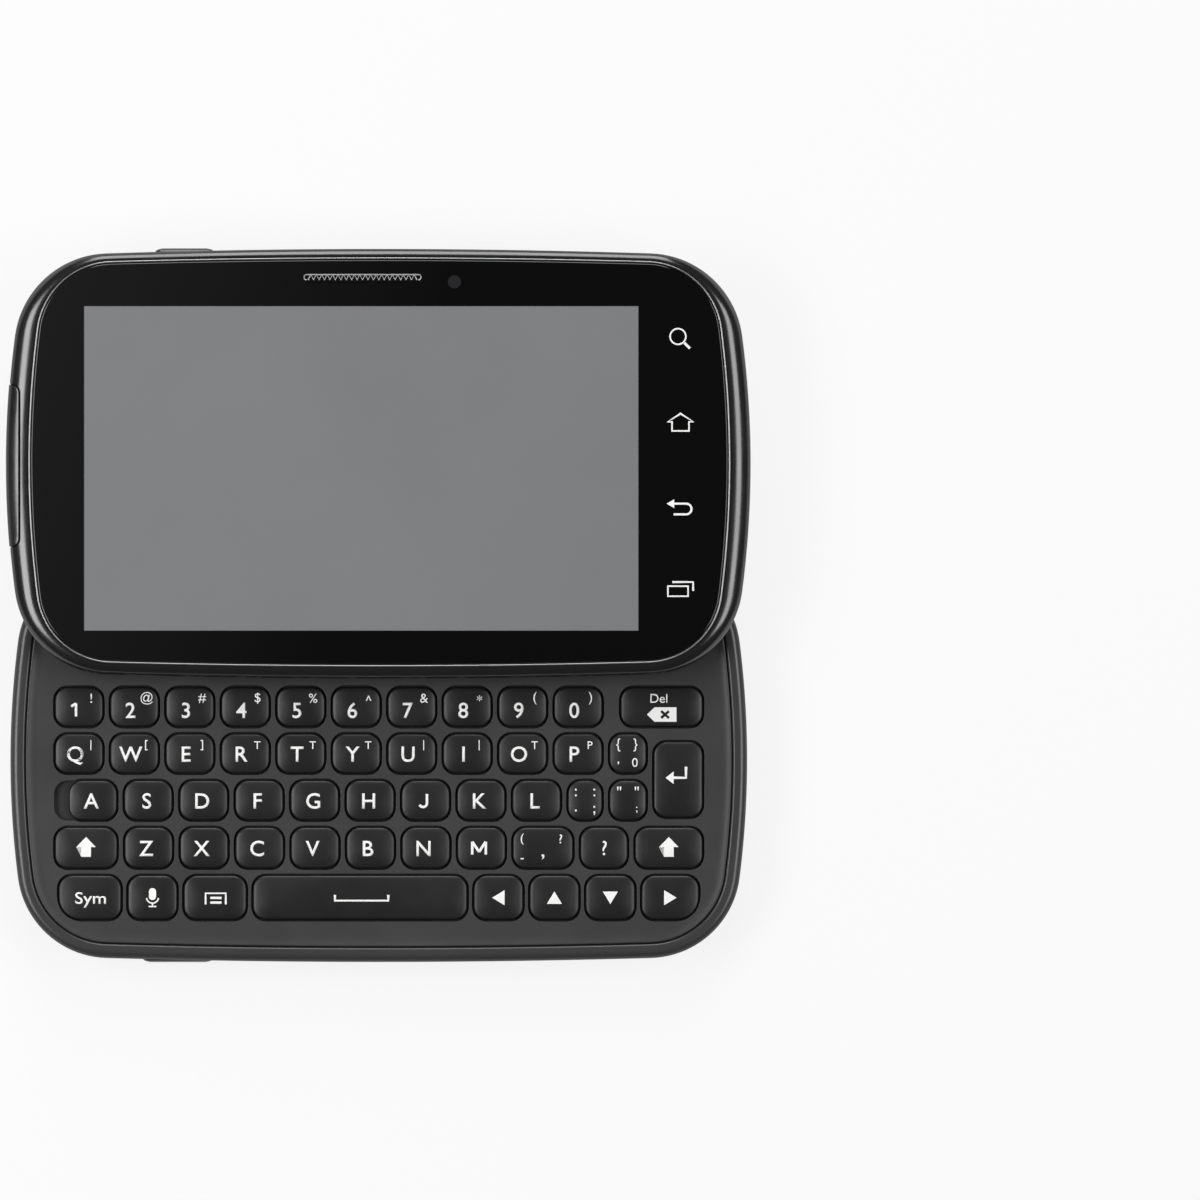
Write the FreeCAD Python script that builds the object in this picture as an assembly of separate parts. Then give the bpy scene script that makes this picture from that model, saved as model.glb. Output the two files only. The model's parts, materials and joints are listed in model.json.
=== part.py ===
import FreeCAD, Part
import math
import os
from collections import namedtuple

from FreeCAD import Vector

# A side-sliding phone with a full keyboard, lying on its rear cover, slid open.
# X runs along the long sides, Y is the way the screen half slides, Z is up.
# The origin is the centre of the rear cover's flat face. All sizes are in millimetres.

# Keyboard layout
letter_key_width = 7.70
key_spacing = 1.12
bottom_row_spacing = 1.00
row_spacing = 1.07
row_heights = [6.35, 6.35, 6.40, 6.57, 7.10]
delete_key_width = 13.07
delete_key_spacing = 2.90
narrow_key_width = 5.90
home_row_indent = 2.20
bottom_row_indent = 0.60
shift_key_width = 9.96
comma_key_width = 9.62
question_key_width = 7.56
symbol_key_width = 10.00
menu_key_width = 10.00
space_key_width = 34.10
small_bottom_key_width = 7.90
enter_key_inset_top = 1.25
enter_key_inset_bottom = 0.45
key_corner = 1.45
outer_corner_of_keyboard = 3.80
key_flats = 1
small_flats = 3
round_flats = 8
wide_round_flats = 14
key_crown_inset = 0.35
key_crown_height = 0.22
key_stands_proud = 0.45
key_travel = 0.25
key_well_gap = 0.17

# Keyboard half outline
deck_side_margin = 4.62
deck_bottom_margin = 4.25
slide_zone = 18.15
blank_pocket_depth = 0.18
rim_inset = 2.30
deck_edge_gap = 0.15
base_corner = 14.6
base_end_bow = 148.0
base_side_bow = 1500.0

# Keyboard half heights
widest_height = 5.20
back_roll = 7.00
front_roll = 2.35
front_rise = 2.80
rim_angle = 79.0
rim_middle_angle = 58.0
cover_angles = (90.0, 70.0, 48.0)
cover_seam_height = 2.65
deck_underside = 7.00
deck_thickness = 0.70
mid_plate_underside = 5.20
mid_plate_thickness = 0.50
keypad_board_thickness = 0.50
keypad_mat_thickness = 0.40
cover_wall = 1.00
cover_inner_roll = 1.75
frame_wall = 3.20
cavity_corner = 11.0

# Screen half outline
screen_overhang_x = 0.52
screen_overhang_y = 1.95
screen_corner = 15.1
screen_end_bow = 155.0
screen_side_bow = 1330.0
trim_inset_x = 3.50
trim_inset_y = 1.75
trim_shift_y = 0.35
trim_corner = 12.2
trim_end_bow = 170.0
trim_side_bow = 1540.0

# Screen half heights
halves_gap = 0.30
screen_back_roll = 2.00
screen_back_rise = 1.85
screen_front_rise = 3.00
screen_back_angles = (90.0, 56.0, 22.0)
screen_front_angles = (0.0, 34.0, 62.0, 85.0)
screen_floor = 0.65
screen_wall_x = 5.30
screen_wall_y = 3.35
chassis_thickness = 0.40
display_thickness = 1.45
glass_thickness = 0.90
trim_width = 0.28
trim_proud = 0.02
trim_gap = 0.03
display_gap = 0.05

# Slide mechanism
slide_travel = 47.06
rail_offset_x = 40.0
rail_width = 9.0
rail_sheet = 0.40
rail_slot = 3.20
rail_end_gap = 0.30
shoe_neck_gap = 0.10
shoe_side_gap = 0.10
shoe_running_gap = 0.05
shoe_head_thickness = 0.60
shoe_head_width = 6.00
shoe_foot_thickness = 0.35
shoe_foot_width = 9.00
shoe_screw_inset = 3.00
shoe_edge_gap = 1.10

# Display, earpiece and front camera
display_width = 94.0
display_height = 54.2
display_shift_x = -2.74
display_shift_y = -0.75
earpiece_x = -2.54
earpiece_below_trim = 3.20
earpiece_width = 18.8
earpiece_height = 1.25
earpiece_holes = 22
receiver_width = 15.0
receiver_depth = 4.0
front_camera_x = 12.05
front_camera_radius = 1.80

# Side controls
side_key_gap = 0.12
side_key_corner = 0.80
power_key_x = -30.8
power_key_width = 9.5
power_key_height = 2.00
power_key_above_widest = 0.45
power_key_proud = 0.35
power_key_travel = 0.35
side_key_depth = 1.50
rocker_y = -0.30
rocker_width = 25.8
rocker_underside = 9.80
rocker_top = 12.75
rocker_depth = 1.45
rocker_proud = 0.12
rocker_rock_room = 0.30
shutter_key_x = -31.95
shutter_key_width = 11.3
shutter_key_height = 2.20
shutter_key_proud = 0.30
shutter_key_travel = 0.40

# Port cover and sockets
port_x = 22.7
port_cover_width = 21.6
port_cover_thickness = 1.30
port_hinge_radius = 0.75
port_pin_radius = 0.35
port_pin_length = 0.60
port_pin_gap = 0.07
port_cover_free_edge = 3.10
port_cover_gap = 0.12
port_nick_width = 4.0
port_nick_depth = 0.35
port_nick_height = 0.60
usb_width = 7.60
usb_height = 2.40
usb_depth = 5.20
usb_shell = 0.30
usb_gap = 0.12
usb_height_at_centre = 4.45
usb_tongue_inset = 1.20
usb_tongue_setback = 0.60
usb_tongue_thickness = 0.50
jack_y = -12.4
jack_height_at_centre = 3.10
jack_bore_radius = 1.78
jack_bore_depth = 13.0
jack_end_wall = 0.40
jack_barrel_radius = 2.30
jack_barrel_length = 5.20
jack_barrel_setback = 0.45
jack_body_width = 6.40
jack_body_height = 4.10
jack_gap = 0.12
jack_scoop_width = 6.70
jack_scoop_depth = 1.90

# Rear camera, flash and loudspeaker
camera_x = -41.0
camera_y = -0.5
camera_ring_size = 12.66
camera_ring_corner = 4.30
camera_ring_band = 1.18
camera_ring_flange = 0.90
camera_ring_gap = 0.47
camera_window_thickness = 0.65
camera_seat = 0.50
camera_lens_radius = 3.20
camera_body_size = 10.6
trim_recess = 0.05
window_recess = 0.15
flash_y = -13.1
flash_size = 5.30
flash_corner = 1.50
flash_gap = 0.45
flash_led_size = 2.35
flash_led_height = 0.40
flash_riser_size = 4.0
flash_flange = 0.40
speaker_x = 43.4
speaker_y = 15.5
speaker_slot_width = 1.45
speaker_slot_length = 6.65
speaker_slot_pitch = 2.22
speaker_slots = 3
speaker_body_x = 14.0
speaker_body_y = 12.0
speaker_body_corner = 1.0

# Inner parts of the keyboard half
inner_gap = 0.10
main_board_thickness = 0.80
board_wall_gap = 0.30
battery_camera_gap = 0.30
battery_y = 1.0
battery_width = 61.0
battery_height = 43.0
battery_gap = 0.60
battery_corner = 1.20
battery_cover_gap = 0.15
contact_spread = 2.50
contact_width = 1.20
contact_height = 0.50
contact_reach = 2.20
contact_y = 0.0
contact_bar_width = 1.40
contact_bar_length = 8.0
contact_drop = 1.60
shield_height = 2.10
shield_length = 15.0
shield_side_gap = 3.50
right_shield_y = -1.5
left_shield_width = 7.0
left_shield_y = 15.0
card_socket_gap = 2.0
card_socket_width = 16.0
card_socket_length = 14.0
card_socket_y = -18.0
card_socket_height = 1.60
card_socket_wall = 0.30
motor_wall_gap = 3.20
motor_y = 15.5
motor_radius = 5.0
motor_thickness = 2.70
screw_radius = 0.70
screw_head_radius = 1.30
screw_head_height = 0.60
screw_hole_gap = 0.03
boss_radius = 2.00
screen_boss_radius = 1.60
boss_wall_gap = 0.30
top_screw_x = 25.0
screen_board_thickness = 0.60
screen_board_height = 40.0
screen_board_rail_gap = 4.50

# Heights that follow from the sizes above
mid_plate_top = mid_plate_underside + mid_plate_thickness
keypad_board_top = mid_plate_top + keypad_board_thickness
keypad_mat_top = keypad_board_top + keypad_mat_thickness
deck_top = deck_underside + deck_thickness
key_top = deck_top + key_stands_proud
key_underside = keypad_mat_top + key_travel + 0.02
screen_underside = key_top + halves_gap
screen_widest = screen_underside + screen_back_rise
screen_seam_angle = screen_back_angles[-1]
rail_underside = screen_underside + screen_floor
shoe_head_underside = rail_underside + rail_sheet + shoe_running_gap
shoe_head_top = shoe_head_underside + shoe_head_thickness
rail_top = shoe_head_top + shoe_running_gap + rail_sheet
chassis_top = rail_top + inner_gap + chassis_thickness
ledge_height = chassis_top + display_thickness + display_gap
glass_top = ledge_height + glass_thickness
main_board_top = mid_plate_underside - inner_gap
main_board_underside = main_board_top - main_board_thickness
camera_seat_height = cover_wall + camera_seat

# Plan sizes that follow from the keyboard
keyboard_width = (10 * (letter_key_width + key_spacing) - key_spacing
                  + delete_key_spacing + delete_key_width)
keyboard_height = sum(row_heights) + (len(row_heights) - 1) * row_spacing
deck_half_x = keyboard_width / 2 + deck_side_margin
deck_half_y = (keyboard_height + deck_bottom_margin + slide_zone) / 2
base_half_x = deck_half_x + rim_inset + deck_edge_gap
base_half_y = deck_half_y + rim_inset + deck_edge_gap
keyboard_left = -keyboard_width / 2
keyboard_right = keyboard_width / 2
keyboard_bottom = -deck_half_y + deck_bottom_margin
keyboard_top = keyboard_bottom + keyboard_height
screen_half_x = base_half_x + screen_overhang_x
screen_half_y = base_half_y + screen_overhang_y
screen_cavity_x = screen_half_x - screen_wall_x
screen_cavity_y = screen_half_y - screen_wall_y
rail_half_y = screen_cavity_y - rail_end_gap
base_cavity_x = base_half_x - frame_wall
base_cavity_y = base_half_y - frame_wall
trim_top_y = screen_half_y - trim_inset_y + trim_shift_y
camera_flange_size = camera_ring_size + 2 * (camera_ring_gap + camera_ring_flange)
battery_left = camera_x + camera_flange_size / 2 + battery_camera_gap
battery_right = battery_left + battery_width
battery_x = (battery_left + battery_right) / 2
camera_window_size = camera_ring_size - 2 * camera_ring_band

Outline = namedtuple("Outline", "half_x half_y corner end_bow side_bow shift_y")

base_outline = Outline(base_half_x, base_half_y, base_corner, base_end_bow, base_side_bow, 0.0)
screen_outline = Outline(screen_half_x, screen_half_y, screen_corner,
                         screen_end_bow, screen_side_bow, 0.0)
trim_outline = Outline(screen_half_x - trim_inset_x, screen_half_y - trim_inset_y, trim_corner,
                       trim_end_bow, trim_side_bow, trim_shift_y)


# Outlines and simple solids

def bowed_wire(outline, height, inset=0.0):
    """Closed wire of eight tangent arcs: four corners, two bowed ends, two bowed sides."""
    side_centre = Vector(0, outline.half_y - outline.side_bow, 0)
    end_centre = Vector(outline.half_x - outline.end_bow, 0, 0)
    side_reach = outline.side_bow - outline.corner
    end_reach = outline.end_bow - outline.corner
    between = end_centre - side_centre
    span = between.Length
    along = (side_reach ** 2 - end_reach ** 2 + span ** 2) / (2 * span)
    across = math.sqrt(side_reach ** 2 - along ** 2)
    direction = between / span
    normal = Vector(-direction.y, direction.x, 0)
    corner_centre = side_centre + direction * along + normal * across
    if corner_centre.x < 0:
        corner_centre = side_centre + direction * along - normal * across
    to_side = (corner_centre - side_centre).normalize()
    to_end = (corner_centre - end_centre).normalize()
    side_point = side_centre + to_side * (outline.side_bow - inset)
    end_point = end_centre + to_end * (outline.end_bow - inset)
    corner_point = corner_centre + (to_side + to_end).normalize() * (outline.corner - inset)
    end_middle = Vector(outline.half_x - inset, 0, 0)
    side_middle = Vector(0, outline.half_y - inset, 0)

    def placed(point, sign_x, sign_y):
        return Vector(point.x * sign_x, point.y * sign_y + outline.shift_y, height)

    edges = []
    for sign_x, sign_y in ((1, 1), (-1, -1)):
        arcs = (
            (placed(end_point, sign_x, -sign_y), placed(end_middle, sign_x, 1),
             placed(end_point, sign_x, sign_y)),
            (placed(end_point, sign_x, sign_y), placed(corner_point, sign_x, sign_y),
             placed(side_point, sign_x, sign_y)),
            (placed(side_point, sign_x, sign_y), placed(side_middle, 1, sign_y),
             placed(side_point, -sign_x, sign_y)),
            (placed(side_point, -sign_x, sign_y), placed(corner_point, -sign_x, sign_y),
             placed(end_point, -sign_x, sign_y)),
        )
        edges += [Part.Arc(*points).toShape() for points in arcs]
    return Part.Wire(edges)


def between_outlines(first, second, share):
    """Outline part of the way from one outline to another."""
    return Outline(*(a + (b - a) * share for a, b in zip(first, second)))


def bowed_prism(outline, inset, low, high):
    """Upright solid on a bowed outline."""
    face = Part.Face(bowed_wire(outline, low, inset))
    return face.extrude(Vector(0, 0, high - low))


def block(low_x, high_x, low_y, high_y, low_z, high_z):
    """Plain box between two corners."""
    return Part.makeBox(high_x - low_x, high_y - low_y, high_z - low_z,
                        Vector(low_x, low_y, low_z))


def centred_block(x, y, size_x, size_y, low_z, high_z):
    """Box centred on a point of the plan."""
    return block(x - size_x / 2, x + size_x / 2, y - size_y / 2, y + size_y / 2, low_z, high_z)


def flat_loop(left, right, bottom, top, corners, flats, height, grow=0.0):
    """Rectangle whose round corners are a few flats that touch the corner's arc."""
    places = (
        (left, bottom, 1, 1, 180),
        (right, bottom, -1, 1, 270),
        (right, top, -1, -1, 0),
        (left, top, 1, -1, 90),
    )
    step = 90 / (flats + 1)
    points = []
    for (x, y, sign_x, sign_y, start), corner in zip(places, corners):
        centre_x = x + sign_x * corner
        centre_y = y + sign_y * corner
        reach = (corner + grow) / math.cos(math.radians(step / 2))
        for flat in range(flats + 1):
            turn = math.radians(start + step * (flat + 0.5))
            points.append(Vector(centre_x + reach * math.cos(turn),
                                 centre_y + reach * math.sin(turn), height))
    return Part.makePolygon(points + points[:1])


def flat_cornered_prism(x, y, size_x, size_y, corner, low_z, high_z):
    """Upright prism on a rectangle with small corners made of flats."""
    loop = flat_loop(x - size_x / 2, x + size_x / 2, y - size_y / 2, y + size_y / 2,
                     [corner] * 4, small_flats, low_z)
    return Part.Face(loop).extrude(Vector(0, 0, high_z - low_z))


def small_post(x, y, radius, low_z, high_z, flats=round_flats):
    """Upright post or bore, round but for a few flats that touch its radius."""
    reach = radius / math.cos(math.pi / flats)
    points = []
    for flat in range(flats):
        turn = 2 * math.pi * (flat + 0.5) / flats
        points.append(Vector(x + reach * math.cos(turn), y + reach * math.sin(turn), low_z))
    return Part.Face(Part.makePolygon(points + points[:1])).extrude(Vector(0, 0, high_z - low_z))


def fused(shapes):
    """One solid from shapes that overlap or touch."""
    return shapes[0].multiFuse(shapes[1:]).removeSplitter()


def in_screen_half(shape):
    """Moves a shape modelled about the screen half's own centre to its open place."""
    return shape.translated(Vector(0, slide_travel, 0))


# Housing surfaces

def back_section(angle):
    """Height and inset of the keyboard half's rear roll at an angle from the widest line."""
    turn = math.radians(angle)
    return (widest_height * (1 - math.sin(turn)), back_roll * (1 - math.cos(turn)))


def front_section(angle):
    """Height and inset of the keyboard half's front roll at an angle from the widest line."""
    turn = math.radians(angle)
    return (widest_height + front_rise * math.sin(turn), front_roll * (1 - math.cos(turn)))


cover_seam_angle = math.degrees(math.asin(1 - cover_seam_height / widest_height))
front_seam_angle = math.degrees(math.asin((deck_underside - widest_height) / front_rise))


def base_sections(back_angles, front_angles):
    """Wires of the keyboard half's outer surface from low to high."""
    sections = [back_section(angle) for angle in sorted(back_angles, reverse=True)]
    sections += [front_section(angle) for angle in front_angles]
    return [bowed_wire(base_outline, height, inset) for height, inset in sections]


def base_body(back_angles, front_angles):
    """Solid inside a stretch of the keyboard half's outer surface."""
    return Part.makeLoft(base_sections(back_angles, front_angles), True, True)


def base_cavity(low, high):
    """The room inside the keyboard half's frame."""
    return flat_cornered_prism(0, 0, 2 * base_cavity_x, 2 * base_cavity_y, cavity_corner,
                               low, high)


def screen_back_section(angle):
    """Wire of the screen half's outer surface below its widest line."""
    turn = math.radians(angle)
    height = screen_widest - screen_back_rise * math.sin(turn)
    return bowed_wire(screen_outline, height, screen_back_roll * (1 - math.cos(turn)))


def screen_front_section(angle):
    """Wire of the screen half's outer surface between its widest line and the trim."""
    turn = math.radians(angle)
    outline = between_outlines(screen_outline, trim_outline, 1 - math.cos(turn))
    return bowed_wire(outline, screen_widest + screen_front_rise * math.sin(turn))


def screen_cavity(low, high):
    """The room inside the screen half."""
    return flat_cornered_prism(0, 0, 2 * screen_cavity_x, 2 * screen_cavity_y, cavity_corner,
                               low, high)


# Keys

Key = namedtuple("Key", "node left right bottom top corners")


def row_span(row):
    """Bottom and top of a row, counted from the top row."""
    top = keyboard_top - sum(row_heights[:row]) - row * row_spacing
    return top - row_heights[row], top


def key_layout():
    """All keys with the node each belongs to."""
    keys = []

    def add(node, row, left, width, corners=None):
        bottom, top = row_span(row)
        keys.append(Key(node, left, left + width, bottom, top, corners or [key_corner] * 4))
        return left + width

    def letters(node, row, left, count):
        for place in range(count):
            right = add(node, row, left + place * (letter_key_width + key_spacing),
                        letter_key_width)
        return right

    right = letters("number_keys", 0, keyboard_left, 10)
    add("delete_key", 0, right + delete_key_spacing, delete_key_width)

    right = letters("top_letter_keys", 1, keyboard_left, 10)
    narrow_left = right + key_spacing
    right = add("punctuation_keys", 1, narrow_left, narrow_key_width)
    enter_left = right + key_spacing
    keys.append(Key("enter_key", enter_left, keyboard_right,
                    row_span(2)[0] + enter_key_inset_bottom,
                    row_span(1)[1] - enter_key_inset_top, [key_corner] * 4))

    right = letters("middle_letter_keys", 2, keyboard_left + home_row_indent, 9)
    colon_left = right + key_spacing
    add("punctuation_keys", 2, colon_left, narrow_left - key_spacing - colon_left)
    add("punctuation_keys", 2, narrow_left, narrow_key_width)

    right = add("left_shift_key", 3, keyboard_left, shift_key_width)
    right = letters("bottom_letter_keys", 3, right + key_spacing, 7)
    right = add("punctuation_keys", 3, right + key_spacing, comma_key_width)
    right = add("punctuation_keys", 3, right + key_spacing, question_key_width)
    shift_left = right + key_spacing
    add("right_shift_key", 3, shift_left, keyboard_right - shift_left)

    bottom_row = (
        ("symbol_key", symbol_key_width),
        ("voice_key", small_bottom_key_width),
        ("menu_key", menu_key_width),
        ("space_key", space_key_width),
        ("left_arrow_key", small_bottom_key_width),
        ("up_arrow_key", small_bottom_key_width),
        ("down_arrow_key", small_bottom_key_width),
    )
    right = keyboard_left + bottom_row_indent - bottom_row_spacing
    for node, width in bottom_row:
        corners = [key_corner] * 4
        if node == "symbol_key":
            corners[0] = outer_corner_of_keyboard
        right = add(node, 4, right + bottom_row_spacing, width, corners)
    arrow_left = right + bottom_row_spacing
    corners = [key_corner, outer_corner_of_keyboard, key_corner, key_corner]
    add("right_arrow_key", 4, arrow_left,
        keyboard_right - bottom_row_indent - arrow_left, corners)
    return keys


def key_loop(key, height, grow):
    """Outline of a key, grown outwards."""
    return flat_loop(key.left, key.right, key.bottom, key.top, key.corners, key_flats,
                     height, grow)


def key_cap(key):
    """Key cap with a bevelled crown."""
    loops = [
        key_loop(key, key_underside, 0.0),
        key_loop(key, key_top - key_crown_height, 0.0),
        key_loop(key, key_top, -key_crown_inset),
    ]
    return Part.makeLoft(loops, True, True)


def key_well(key):
    """Cut in the deck that one key moves in."""
    face = Part.Face(key_loop(key, deck_underside - 1, key_well_gap))
    return face.extrude(Vector(0, 0, deck_thickness + 2))


# Screws

def shoe_screw_places():
    """Two screws under each slide shoe."""
    low, high = shoe_span()
    return [(side * rail_offset_x, y)
            for side in (-1, 1)
            for y in (low + shoe_screw_inset, high - shoe_screw_inset)]


def screen_screw_places():
    """Six screws that hold the display chassis to the back of the screen half."""
    reach = screen_boss_radius + boss_wall_gap
    end_x = screen_cavity_x - reach
    end_y = screen_cavity_y - cavity_corner
    top_y = screen_cavity_y - reach
    return ([(side * end_x, turn * end_y) for side in (-1, 1) for turn in (-1, 1)]
            + [(side * top_screw_x, top_y) for side in (-1, 1)])


def screw(x, y, head_low, head_high, tip):
    """Screw with a flat head and a plain shank that ends at tip."""
    head = small_post(x, y, screw_head_radius, head_low, head_high)
    shank = small_post(x, y, screw_radius, min(head_low, tip), max(head_high, tip))
    return fused([head, shank])


def screw_bores(places, low, high):
    """Bores for the shanks of screws at some places."""
    return [small_post(x, y, screw_radius + screw_hole_gap, low, high) for x, y in places]


def shoe_span():
    """Front and back of the slide shoes: what the travel leaves of the rails."""
    high = deck_half_y - shoe_edge_gap
    low = -rail_half_y + rail_end_gap + slide_travel
    return low, high


# Keyboard half

def rear_cover():
    """Curved battery cover with camera, flash, speaker and jack openings."""
    shell = base_body(cover_angles + (cover_seam_angle,), ())
    floor_inset = back_section(math.degrees(math.asin(1 - cover_wall / widest_height)))[1]
    inset = floor_inset + cover_inner_roll
    room = flat_cornered_prism(0, 0, 2 * (base_half_x - inset), 2 * (base_half_y - inset),
                               base_corner - inset, cover_wall, deck_top)
    below = -cover_wall
    above = 2 * cover_wall
    camera_size = camera_ring_size + 2 * camera_ring_gap
    flash_opening = flash_size + 2 * flash_gap
    cuts = [
        room,
        flat_cornered_prism(camera_x, camera_y, camera_size, camera_size,
                            camera_ring_corner + camera_ring_gap, below, above),
        flat_cornered_prism(camera_x, flash_y, flash_opening, flash_opening,
                            flash_corner + flash_gap, below, above),
        jack_barrel(jack_barrel_radius + jack_gap, jack_barrel_setback + jack_gap),
        block(-base_half_x - cover_wall, -base_half_x + jack_scoop_depth,
              jack_y - jack_scoop_width / 2, jack_y + jack_scoop_width / 2,
              below, cover_seam_height + cover_wall),
    ]
    middle = (speaker_slots - 1) / 2
    for slot in range(speaker_slots):
        x = speaker_x + (slot - middle) * speaker_slot_pitch
        cuts.append(centred_block(x, speaker_y, speaker_slot_width, speaker_slot_length,
                                  below, above))
    return shell.cut(cuts)


def side_skin():
    """Outer surface of the keyboard half between the cover's seam and the front rim."""
    return base_body((cover_seam_angle,), (0.0, front_seam_angle))


def base_frame():
    """Side wall of the keyboard half with its mid plate, pockets and screw bosses."""
    below = base_cavity(cover_seam_height - cover_wall, mid_plate_underside)
    above = base_cavity(mid_plate_top, deck_top)
    frame = side_skin().cut([below, above])
    bosses = [small_post(x, y, boss_radius, mid_plate_underside, deck_underside)
              for x, y in shoe_screw_places()]
    frame = frame.fuse(bosses)
    cuts = screw_bores(shoe_screw_places(), cover_seam_height, deck_top)
    cuts.append(jack_barrel(jack_barrel_radius + jack_gap, jack_barrel_setback + jack_gap))
    cuts.append(shutter_pocket())
    cuts.append(port_pocket())
    cuts.append(usb_block(usb_gap))
    return frame.cut(cuts)


def keypad_bezel():
    """Front rim of the keyboard half, round the deck."""
    shell = base_body((), (front_seam_angle, rim_middle_angle, rim_angle))
    room = bowed_prism(base_outline, rim_inset, mid_plate_top, key_top)
    return shell.cut(room)


def blank_pockets():
    """Shallow pockets of the deck beside the home row and the top row."""
    zero_right = keyboard_left + 10 * (letter_key_width + key_spacing) - key_spacing
    pockets = []
    for row, left, width in ((2, keyboard_left, home_row_indent),
                             (0, zero_right, delete_key_spacing - key_spacing)):
        bottom, top = row_span(row)
        pockets.append(block(left, left + width, bottom, top, deck_top - blank_pocket_depth,
                             key_top))
    return pockets


def keyboard_deck():
    """Front plate with one well for each key."""
    plate = bowed_prism(base_outline, rim_inset + deck_edge_gap, deck_underside, deck_top)
    cuts = [key_well(key) for key in key_layout()]
    cuts += screw_bores(shoe_screw_places(), mid_plate_top, key_top)
    return plate.cut(cuts + blank_pockets())


def keypad_sheet(low, high, setback):
    """Sheet under the whole keyboard."""
    low_y = keyboard_bottom - key_spacing + setback
    high_y = keyboard_top + key_spacing - setback
    width = keyboard_width + 2 * (key_spacing - setback)
    return flat_cornered_prism(0, (low_y + high_y) / 2, width, high_y - low_y,
                               outer_corner_of_keyboard, low, high)


def main_board():
    """Circuit board round the battery, under the mid plate."""
    board = flat_cornered_prism(0, 0, 2 * (base_cavity_x - board_wall_gap),
                                2 * (base_cavity_y - board_wall_gap),
                                cavity_corner - board_wall_gap, main_board_underside,
                                main_board_top)
    low = cover_wall
    high = mid_plate_underside
    cuts = [
        centred_block(battery_x, battery_y, battery_width + 2 * battery_gap,
                      battery_height + 2 * battery_gap, low, high),
        centred_block(camera_x, camera_y, camera_body_size + 2 * battery_gap,
                      camera_body_size + 2 * battery_gap, low, high),
        usb_block(usb_gap),
        jack_body(jack_gap),
        jack_barrel(jack_barrel_radius + jack_gap, jack_gap),
    ]
    cuts += [small_post(x, y, screw_head_radius + inner_gap, low, high)
             for x, y in shoe_screw_places()]
    return board.cut(cuts)


def shield_cans():
    """Two pressed covers over the circuits beside the battery."""
    low = main_board_underside - shield_height
    half = shield_length / 2
    right_can = block(battery_right + battery_gap + shield_side_gap,
                      base_cavity_x - shield_side_gap, right_shield_y - half,
                      right_shield_y + half, low, main_board_underside)
    left_can = block(battery_left - 2 * battery_gap - left_shield_width,
                     battery_left - 2 * battery_gap, left_shield_y - half,
                     left_shield_y + half, low, main_board_underside)
    return Part.makeCompound([right_can, left_can])


def card_socket():
    """Card tray socket on the board beside the battery, open towards the battery."""
    left = battery_right + battery_gap + card_socket_gap
    right = left + card_socket_width
    low = main_board_underside - card_socket_height
    half = card_socket_length / 2
    wall = card_socket_wall
    body = block(left, right, card_socket_y - half, card_socket_y + half, low,
                 main_board_underside)
    mouth = block(left - wall, right - wall, card_socket_y - half + wall,
                  card_socket_y + half - wall, low + wall, main_board_underside - wall)
    return body.cut(mouth)


def battery():
    """Flat battery pack under the mid plate."""
    return flat_cornered_prism(battery_x, battery_y, battery_width, battery_height,
                               battery_corner, cover_wall + battery_cover_gap,
                               mid_plate_underside - inner_gap)


def battery_contacts():
    """Three spring blades that touch the battery's end."""
    left = battery_right + inner_gap
    right = left + battery_gap + contact_reach
    low = main_board_underside - contact_drop
    blades = []
    for place in (-1, 0, 1):
        y = contact_y + place * contact_spread
        blades.append(block(left, right, y - contact_width / 2, y + contact_width / 2, low,
                            low + contact_height))
    bar = block(right - contact_bar_width, right, contact_y - contact_bar_length / 2,
                contact_y + contact_bar_length / 2, low, main_board_underside)
    return fused([bar] + blades)


def vibration_motor():
    """Coin motor on the board."""
    return small_post(-base_cavity_x + motor_wall_gap + motor_radius, motor_y, motor_radius,
                      main_board_underside - motor_thickness, main_board_underside,
                      wide_round_flats)


def camera_ring():
    """Square metal ring round the camera window, with a flange behind the cover."""
    ring = flat_cornered_prism(camera_x, camera_y, camera_ring_size, camera_ring_size,
                               camera_ring_corner, trim_recess, camera_seat_height)
    flange = flat_cornered_prism(camera_x, camera_y, camera_flange_size, camera_flange_size,
                                 camera_ring_corner + camera_ring_flange,
                                 cover_wall + inner_gap, camera_seat_height)
    hole = flat_cornered_prism(camera_x, camera_y, camera_window_size, camera_window_size,
                               camera_ring_corner - camera_ring_band, -cover_wall,
                               2 * camera_seat_height)
    return fused([ring, flange]).cut(hole)


def camera_window():
    """Dark glass that fills the ring."""
    size = camera_window_size - 2 * trim_gap
    return flat_cornered_prism(camera_x, camera_y, size, size,
                               camera_ring_corner - camera_ring_band - trim_gap,
                               window_recess, window_recess + camera_window_thickness)


def camera_module():
    """Camera body under the mid plate with its lens behind the window."""
    body = centred_block(camera_x, camera_y, camera_body_size, camera_body_size,
                         camera_seat_height, mid_plate_underside)
    lens = small_post(camera_x, camera_y, camera_lens_radius,
                      window_recess + camera_window_thickness + inner_gap,
                      camera_seat_height, wide_round_flats)
    return fused([body, lens])


def flash_lens():
    """Clear square lens over the flash."""
    lens = flat_cornered_prism(camera_x, flash_y, flash_size, flash_size, flash_corner,
                               trim_recess, camera_seat_height)
    size = flash_size + 2 * (flash_gap + flash_flange)
    base = flat_cornered_prism(camera_x, flash_y, size, size, flash_corner + flash_flange,
                               cover_wall + inner_gap, camera_seat_height)
    return fused([lens, base])


def flash_led():
    """Flash chip on its riser."""
    shoulder = camera_seat_height + flash_led_height
    riser = centred_block(camera_x, flash_y, flash_riser_size, flash_riser_size, shoulder,
                          main_board_underside)
    chip = centred_block(camera_x, flash_y, flash_led_size, flash_led_size,
                         camera_seat_height, shoulder)
    return fused([riser, chip])


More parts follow.
